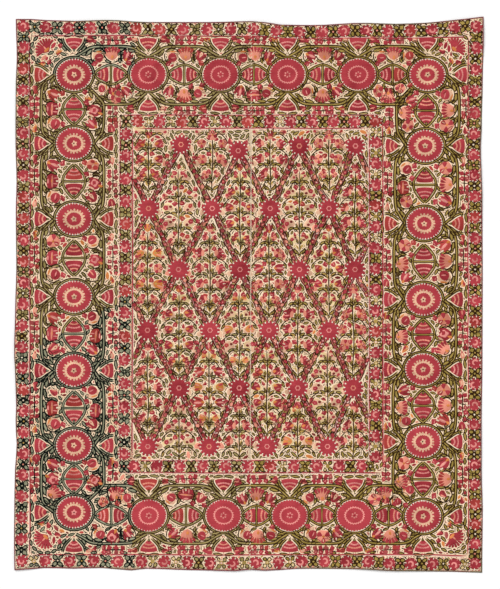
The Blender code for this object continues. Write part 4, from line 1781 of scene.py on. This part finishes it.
# %% One level of a plant
def level(centre, y, kind, bells):
    """What grows at one height of a plant, on both sides of its stem."""
    axis = centre.real
    for sign in (-1, 1):
        space = room(centre, y + 10, sign)
        if space > 26:
            reach = min(space, 74)
            tip = complex(axis + sign * reach, y - 18)
            arch = smooth([complex(axis, y - 8), complex(axis + sign * reach * 0.5, y + 8), tip], 4)
            line(stems, arch, 4.6, greens(tip)[0], height=0.8)
            plant_leaf(arch[2] + 8j, mirrored(between(10, 36), sign), 27, 13)
            plant_leaf(arch[5] + 6j, mirrored(between(-30, -10), sign), 28, 13)
            plant_leaf(arch[7] - 10j, mirrored(between(-70, -40), sign), 27, 12)
        space = room(centre, y + 38, sign)
        if space > 22:
            spot = complex(axis + sign * min(space * 0.62, 42), y + 32)
            heading = radians(mirrored(between(-20, 30), sign))
            if kind in ("eyed", "pair", "ember"):
                halo = pick(("straw", "peach", "straw"))
                patch(plant_flowers, leaf(54, 40), spot - 3j, heading, halo, height=0.35)
            size = min(1.0, space / 50) * between(0.78, 0.92) * (0.86 if kind == "blossom" else 1.0)
            bloom_on_plant(kind, spot, heading, size)
        if space > 40:
            wing = complex(axis + sign * (space - 8), y + 14)
            hue = pick(("peach", "salmon", "peach"))
            lean = radians(mirrored(between(10, 60), sign))
            patch(plant_flowers, leaf(34, 25), wing, lean, hue)
            tip = wing + rect(5, lean)
            patch(plant_hearts, drop(17, 13), tip, lean, red(wing), on=0.5)
        if space > 18:
            small = pick(("spark", "tulip", "bud"))
            nudge = complex(between(-3, 3), between(-6, 6))
            spot = complex(axis + sign * 16, y + 48) + nudge
            bloom_on_plant(small, spot, between(0, 6), 0.8 if small == "spark" else 0.55)
        if space > 64:
            spot = complex(axis + sign * (space - 4), y + between(34, 44))
            bloom_on_plant(pick(("spark", "bud", "spark")), spot, between(0, 6), 0.8)
        plant_leaf(complex(axis + sign * 9, y + 20), mirrored(66, sign), 24, 10)
        if bells:
            patch(stems, oval(9, 9, 6), complex(axis + sign * 9, y + 2), 0, "mustard", height=0.8)
        else:
            knob = complex(axis + sign * 16, y + 2)
            rim = pick(("mustard", "bark"))
            patch(stems, oval(13, 13, 8), knob, 0, "cream", outline=rim, wide=3.8, height=0.7)


print("room at a diamond's middle:", HALF_WIDTH - 24, "mm")

# %% Plants
STRANDS, LEVELS, EDGE_LEAVES = 31, 62, 34  # mm from one pair, level or leaf to the next


def plant(centre, kinds, bells):
    """A plant in the diamond round a centre; its kinds of flowers take turns up the stem."""
    foot = max(centre.imag - 186, FIELD.foot + 8)
    head = min(centre.imag + 178, FIELD.head - 12)
    axis = centre.real
    bend = between(-3, 3)
    path = [complex(axis + bend * math.sin(y / 40), y) for y in np.linspace(foot, head - 22, 14)]
    for y in np.arange(foot + 30, head - 30, STRANDS):
        for sign in (-1, 1):
            spot = complex(axis + sign * 6.5, y + between(-3, 3))
            gold = pick(("mustard", "mustard", greens(centre)[1], "peach"))
            strand = leaf(between(18, 26), 8.5)
            lean = pi / 2 - sign * between(0.2, 0.5)
            patch(stems, strand, spot, lean, gold, height=0.4)
    line(stems, path, 5.4, greens(centre)[0], height=0.8)
    for sign in (-1, 1):
        plant_leaf(complex(axis + sign * 14, foot + 13), 90 - sign * 52, 34, 14)
    root = complex(axis, foot - 2)
    patch(stems, oval(12, 12, 8), root, 0, "mustard", outline="bark", wide=3.5, height=0.7)
    for number, y in enumerate(np.arange(foot + 34, head - 10, LEVELS)):
        level(centre, y, kinds[number % len(kinds)], bells)
    bloom_on_plant(kinds[-1], complex(axis, head - 12), pi / 2, 0.75)
    for sign in (-1, 1):
        for step in np.arange(-204, 205, EDGE_LEAVES):
            space = room(centre, centre.imag + step, sign)
            if space > 10:
                lean = 90 + sign * 26 * (1 if step > 0 else -1)
                plant_leaf(complex(axis + sign * (space + 5), centre.imag + step), lean, 30, 11.5)


PLANTS = (  # the kinds of flowers in each plant, row by row from the head
    ("eyed", "blossom", "crescent", "blossom"),
    ("pair pair pair spark", "eyed", "pair", "crescent"),
    ("blossom ember", "crescent", "blossom blossom wedge", "eyed"),
    ("eyed", "ember pair", "crescent", "blossom"),
    ("crescent", "ember wedge", "eyed", "pair"),
    ("pair", "crescent", "ember eyed", "crescent"),
)
for number, row in enumerate(PLANTS):
    # a plant stands between the crossings of its own row, in line with those of the next row
    next_row = LATTICE[number + 1] if number < len(LATTICE) - 1 else LATTICE[number - 1]
    for kinds, in_line in zip(row, next_row):
        centre = complex(in_line.real, LATTICE[number][0].imag)
        plant(centre, kinds.split(), bells=kinds.startswith("eyed"))
print("plant stitches:", stems.size + plant_leaves.size + plant_flowers.size, "points")

# %% [markdown]
# ## Filling the gaps
#
# Hardly any ground is left bare on such a cover: wherever a gap remained, the worker put one more
# leaf, tendril or bud. Leaves scattered at random would lie on other stitches, so this step keeps a
# plan of the cloth in small cells, marks every cell that has silk on it, and looks for places where
# one more leaf fits with a hair of ground round it, large ones first.

# %% The plan of free ground
CELL = 1.5  # mm
EDGE_STRIP, SEAM_STRIP = 6.5, 5  # mm that stay free inside the outline and beside the middle seam
CELL_ROWS, CELL_COLUMNS = 1500, 1268
taken = np.zeros((CELL_ROWS, CELL_COLUMNS), bool)


def cells(places):
    """Row and column in the plan of complex places on the cloth."""
    rows = np.round(places.imag / CELL).astype(int) + CELL_ROWS // 2
    columns = np.round(places.real / CELL).astype(int) + CELL_COLUMNS // 2
    return np.clip(rows, 0, CELL_ROWS - 1), np.clip(columns, 0, CELL_COLUMNS - 1)


def mark(hoop):
    """Marks the cells under every face of a hoop."""
    places = np.concatenate(hoop.places)
    quads = np.array([face if len(face) == 4 else (*face, face[2]) for face in hoop.faces])
    a, b, c, d = (places[quads[:, corner]] for corner in range(4))
    shares = np.linspace(0, 1, 9)
    for u in shares:
        for v in shares:
            taken[cells((a * (1 - u) + b * u) * (1 - v) + (d * (1 - u) + c * u) * v)] = True


for hoop in Hoop.made:
    mark(hoop)
rows, columns = np.mgrid[0:CELL_ROWS, 0:CELL_COLUMNS]
cell_x, cell_y = (columns - CELL_COLUMNS // 2) * CELL, (rows - CELL_ROWS // 2) * CELL
taken |= (cell_x < edge("left", cell_y) + EDGE_STRIP) | (cell_x > edge("right", cell_y) - EDGE_STRIP)
taken |= (cell_y > edge("head", cell_x) - EDGE_STRIP) | (cell_y < edge("foot", cell_x) + EDGE_STRIP)
taken |= np.abs(cell_x - seam(1, cell_y)) < SEAM_STRIP
print("ground still free:", round(100 * float((~taken).mean())), "percent of the plan")

# %% Where one more fits
shuffle = np.random.default_rng(1871)
HEADINGS = [step * pi / 12 for step in range(12)]  # the directions that a filling may lie in


def footprint(length, breadth, heading, margin):
    """The cells that a lens with a margin of ground would need."""
    outline = leaf(length + 2 * margin, breadth + 2 * margin, 24) * rect(1, heading)
    inside = np.concatenate([outline * share for share in np.linspace(0, 1, 8)])
    found = {(round(place.imag / CELL), round(place.real / CELL)) for place in inside}
    return np.array(sorted(found)).T


def fill_gaps(length, breadth, margin, lay_one):
    """Lays as many pieces of one size as still fit, in a shuffled order."""
    needed = [footprint(length, breadth, heading, margin) for heading in HEADINGS]
    covered = [footprint(length, breadth, heading, 0) for heading in HEADINGS]
    spots = []
    for step, (down, right) in enumerate(needed):
        reach = int(max(np.abs(down).max(), np.abs(right).max()))
        blocked = np.ones_like(taken)
        inner = slice(reach, -reach)
        blocked[inner, inner] = False
        for dy, dx in zip(down, right):
            rows_there = slice(reach + dy, CELL_ROWS - reach + dy)
            columns_there = slice(reach + dx, CELL_COLUMNS - reach + dx)
            blocked[inner, inner] |= taken[rows_there, columns_there]
        free = np.argwhere(~blocked)
        spots.append(np.column_stack([free, np.full(len(free), step)]))
    spots = np.concatenate(spots)
    shuffle.shuffle(spots)
    laid = 0
    for row, column, step in spots:
        down, right = needed[step]
        if taken[row + down, column + right].any():
            continue
        at = complex((column - CELL_COLUMNS // 2) * CELL, (row - CELL_ROWS // 2) * CELL)
        lay_one(at, HEADINGS[step], length, breadth)
        down, right = covered[step]
        taken[row + down, column + right] = True
        laid += 1
    return laid


print("a leaf of 32 by 14 mm needs", footprint(32, 14, 0, 0.8).shape[1], "cells")

# %% Filling leaves and dashes
fill_leaves = Hoop("filling_leaves")
fill_stems = Hoop("filling_stems")
fill_buds = Hoop("filling_buds")
FILLING_REDS = ("crimson", "crimson", "crimson", "rose", "scarlet", "maroon", "salmon", "orange")


def in_field(at):
    """Whether a place lies inside the inner guard."""
    return FIELD.left < at.real < FIELD.right and FIELD.foot < at.imag < FIELD.head


def filling_leaf(at, heading, length, breadth):
    """A leaf in the green of its place, or now and then a red bud of its shape."""
    dark, pale = greens(at)
    shape = leaf(length, breadth * 1.1)
    red_share = 0.22 if in_field(at) else 0.5 if abs(at.real) > 540 else 0.4
    if hand.random() < red_share:
        patch(fill_buds, shape, at, heading, pick(FILLING_REDS), height=0.6)
    else:
        wide = min(4.2, breadth * 0.33)
        patch(fill_leaves, shape, at, heading, pale, outline=dark, wide=wide)


def tendril(at, heading, length, breadth):
    """A short bent stem with a bead at its end."""
    colour = greens(at)[0] if hand.random() < 0.8 else "maroon"
    t = np.linspace(-0.5, 0.5, 4)
    path = at + rect(1, heading) * (t * length + 1j * breadth * 0.3 * np.cos(t * pi))
    line(fill_stems, path, 3.8, colour, height=0.7)
    patch(fill_stems, oval(5, 4.6, 6), path[-1], 0, colour, height=0.6)


def dash(at, heading, length, breadth):
    """A short stitch of stem, dark or red."""
    green = hand.random() < 0.6
    colour = greens(at)[0] if green else pick(("crimson", "maroon", "crimson", "maroon"))
    patch(fill_stems, leaf(length, breadth * 1.2, 6), at, heading, colour)


for length, breadth, margin, lay_one in (
    (32, 14, 0.8, filling_leaf),
    (26, 12, 0.7, filling_leaf),
    (20, 10, 0.5, filling_leaf),
    (20, 6, 0.5, tendril),
    (14, 8, 0.4, filling_leaf),
    (12, 5, 0.3, dash),
    (7.5, 3.6, 0.2, dash),
    (5.5, 3, 0, dash),
):
    laid = fill_gaps(length, breadth, margin, lay_one)
    print(laid, "pieces of", length, "by", breadth, "mm")
print("ground still free:", round(100 * float((~taken).mean())), "percent of the plan")

# %% [markdown]
# ## The middle seam
#
# The middle seam runs through the field. The silk stops short of it, and the cream thread that
# joins the two widths shows as a pale ladder of slanting stitches. In the borders, where the silk
# covers most of it, every other stitch is left out.

# %% Seam stitches
joining = Hoop("seam_stitches")
SEAM_END, SEAM_STEP = 1080, 7.0
for number, y in enumerate(np.arange(-SEAM_END, SEAM_END, SEAM_STEP)):
    if number % 2 and not FIELD.foot < y < FIELD.head:
        continue
    at = complex(seam(1, y), y)
    slant = rect(4.6, radians(55 + slip(6)))
    line(joining, [at - slant, at, at + slant], 3.0, "cream", height=0.5, on=0.9)
print("seam stitches:", joining.size // 9)

# %% [markdown]
# ## Off the hoops
#
# Now each hoop's stitches become one mesh that lies on the cloth, and the triangles of every piece
# are counted.

# %% Meshes, sheets and sizes
worked = [hoop.make() for hoop in Hoop.made if hoop.size]
triangles = {}
for made in panels + plaits + worked:
    triangles[made.name] = sum(len(face.vertices) - 2 for face in made.data.polygons)
print("triangles:", sum(triangles.values()), triangles)
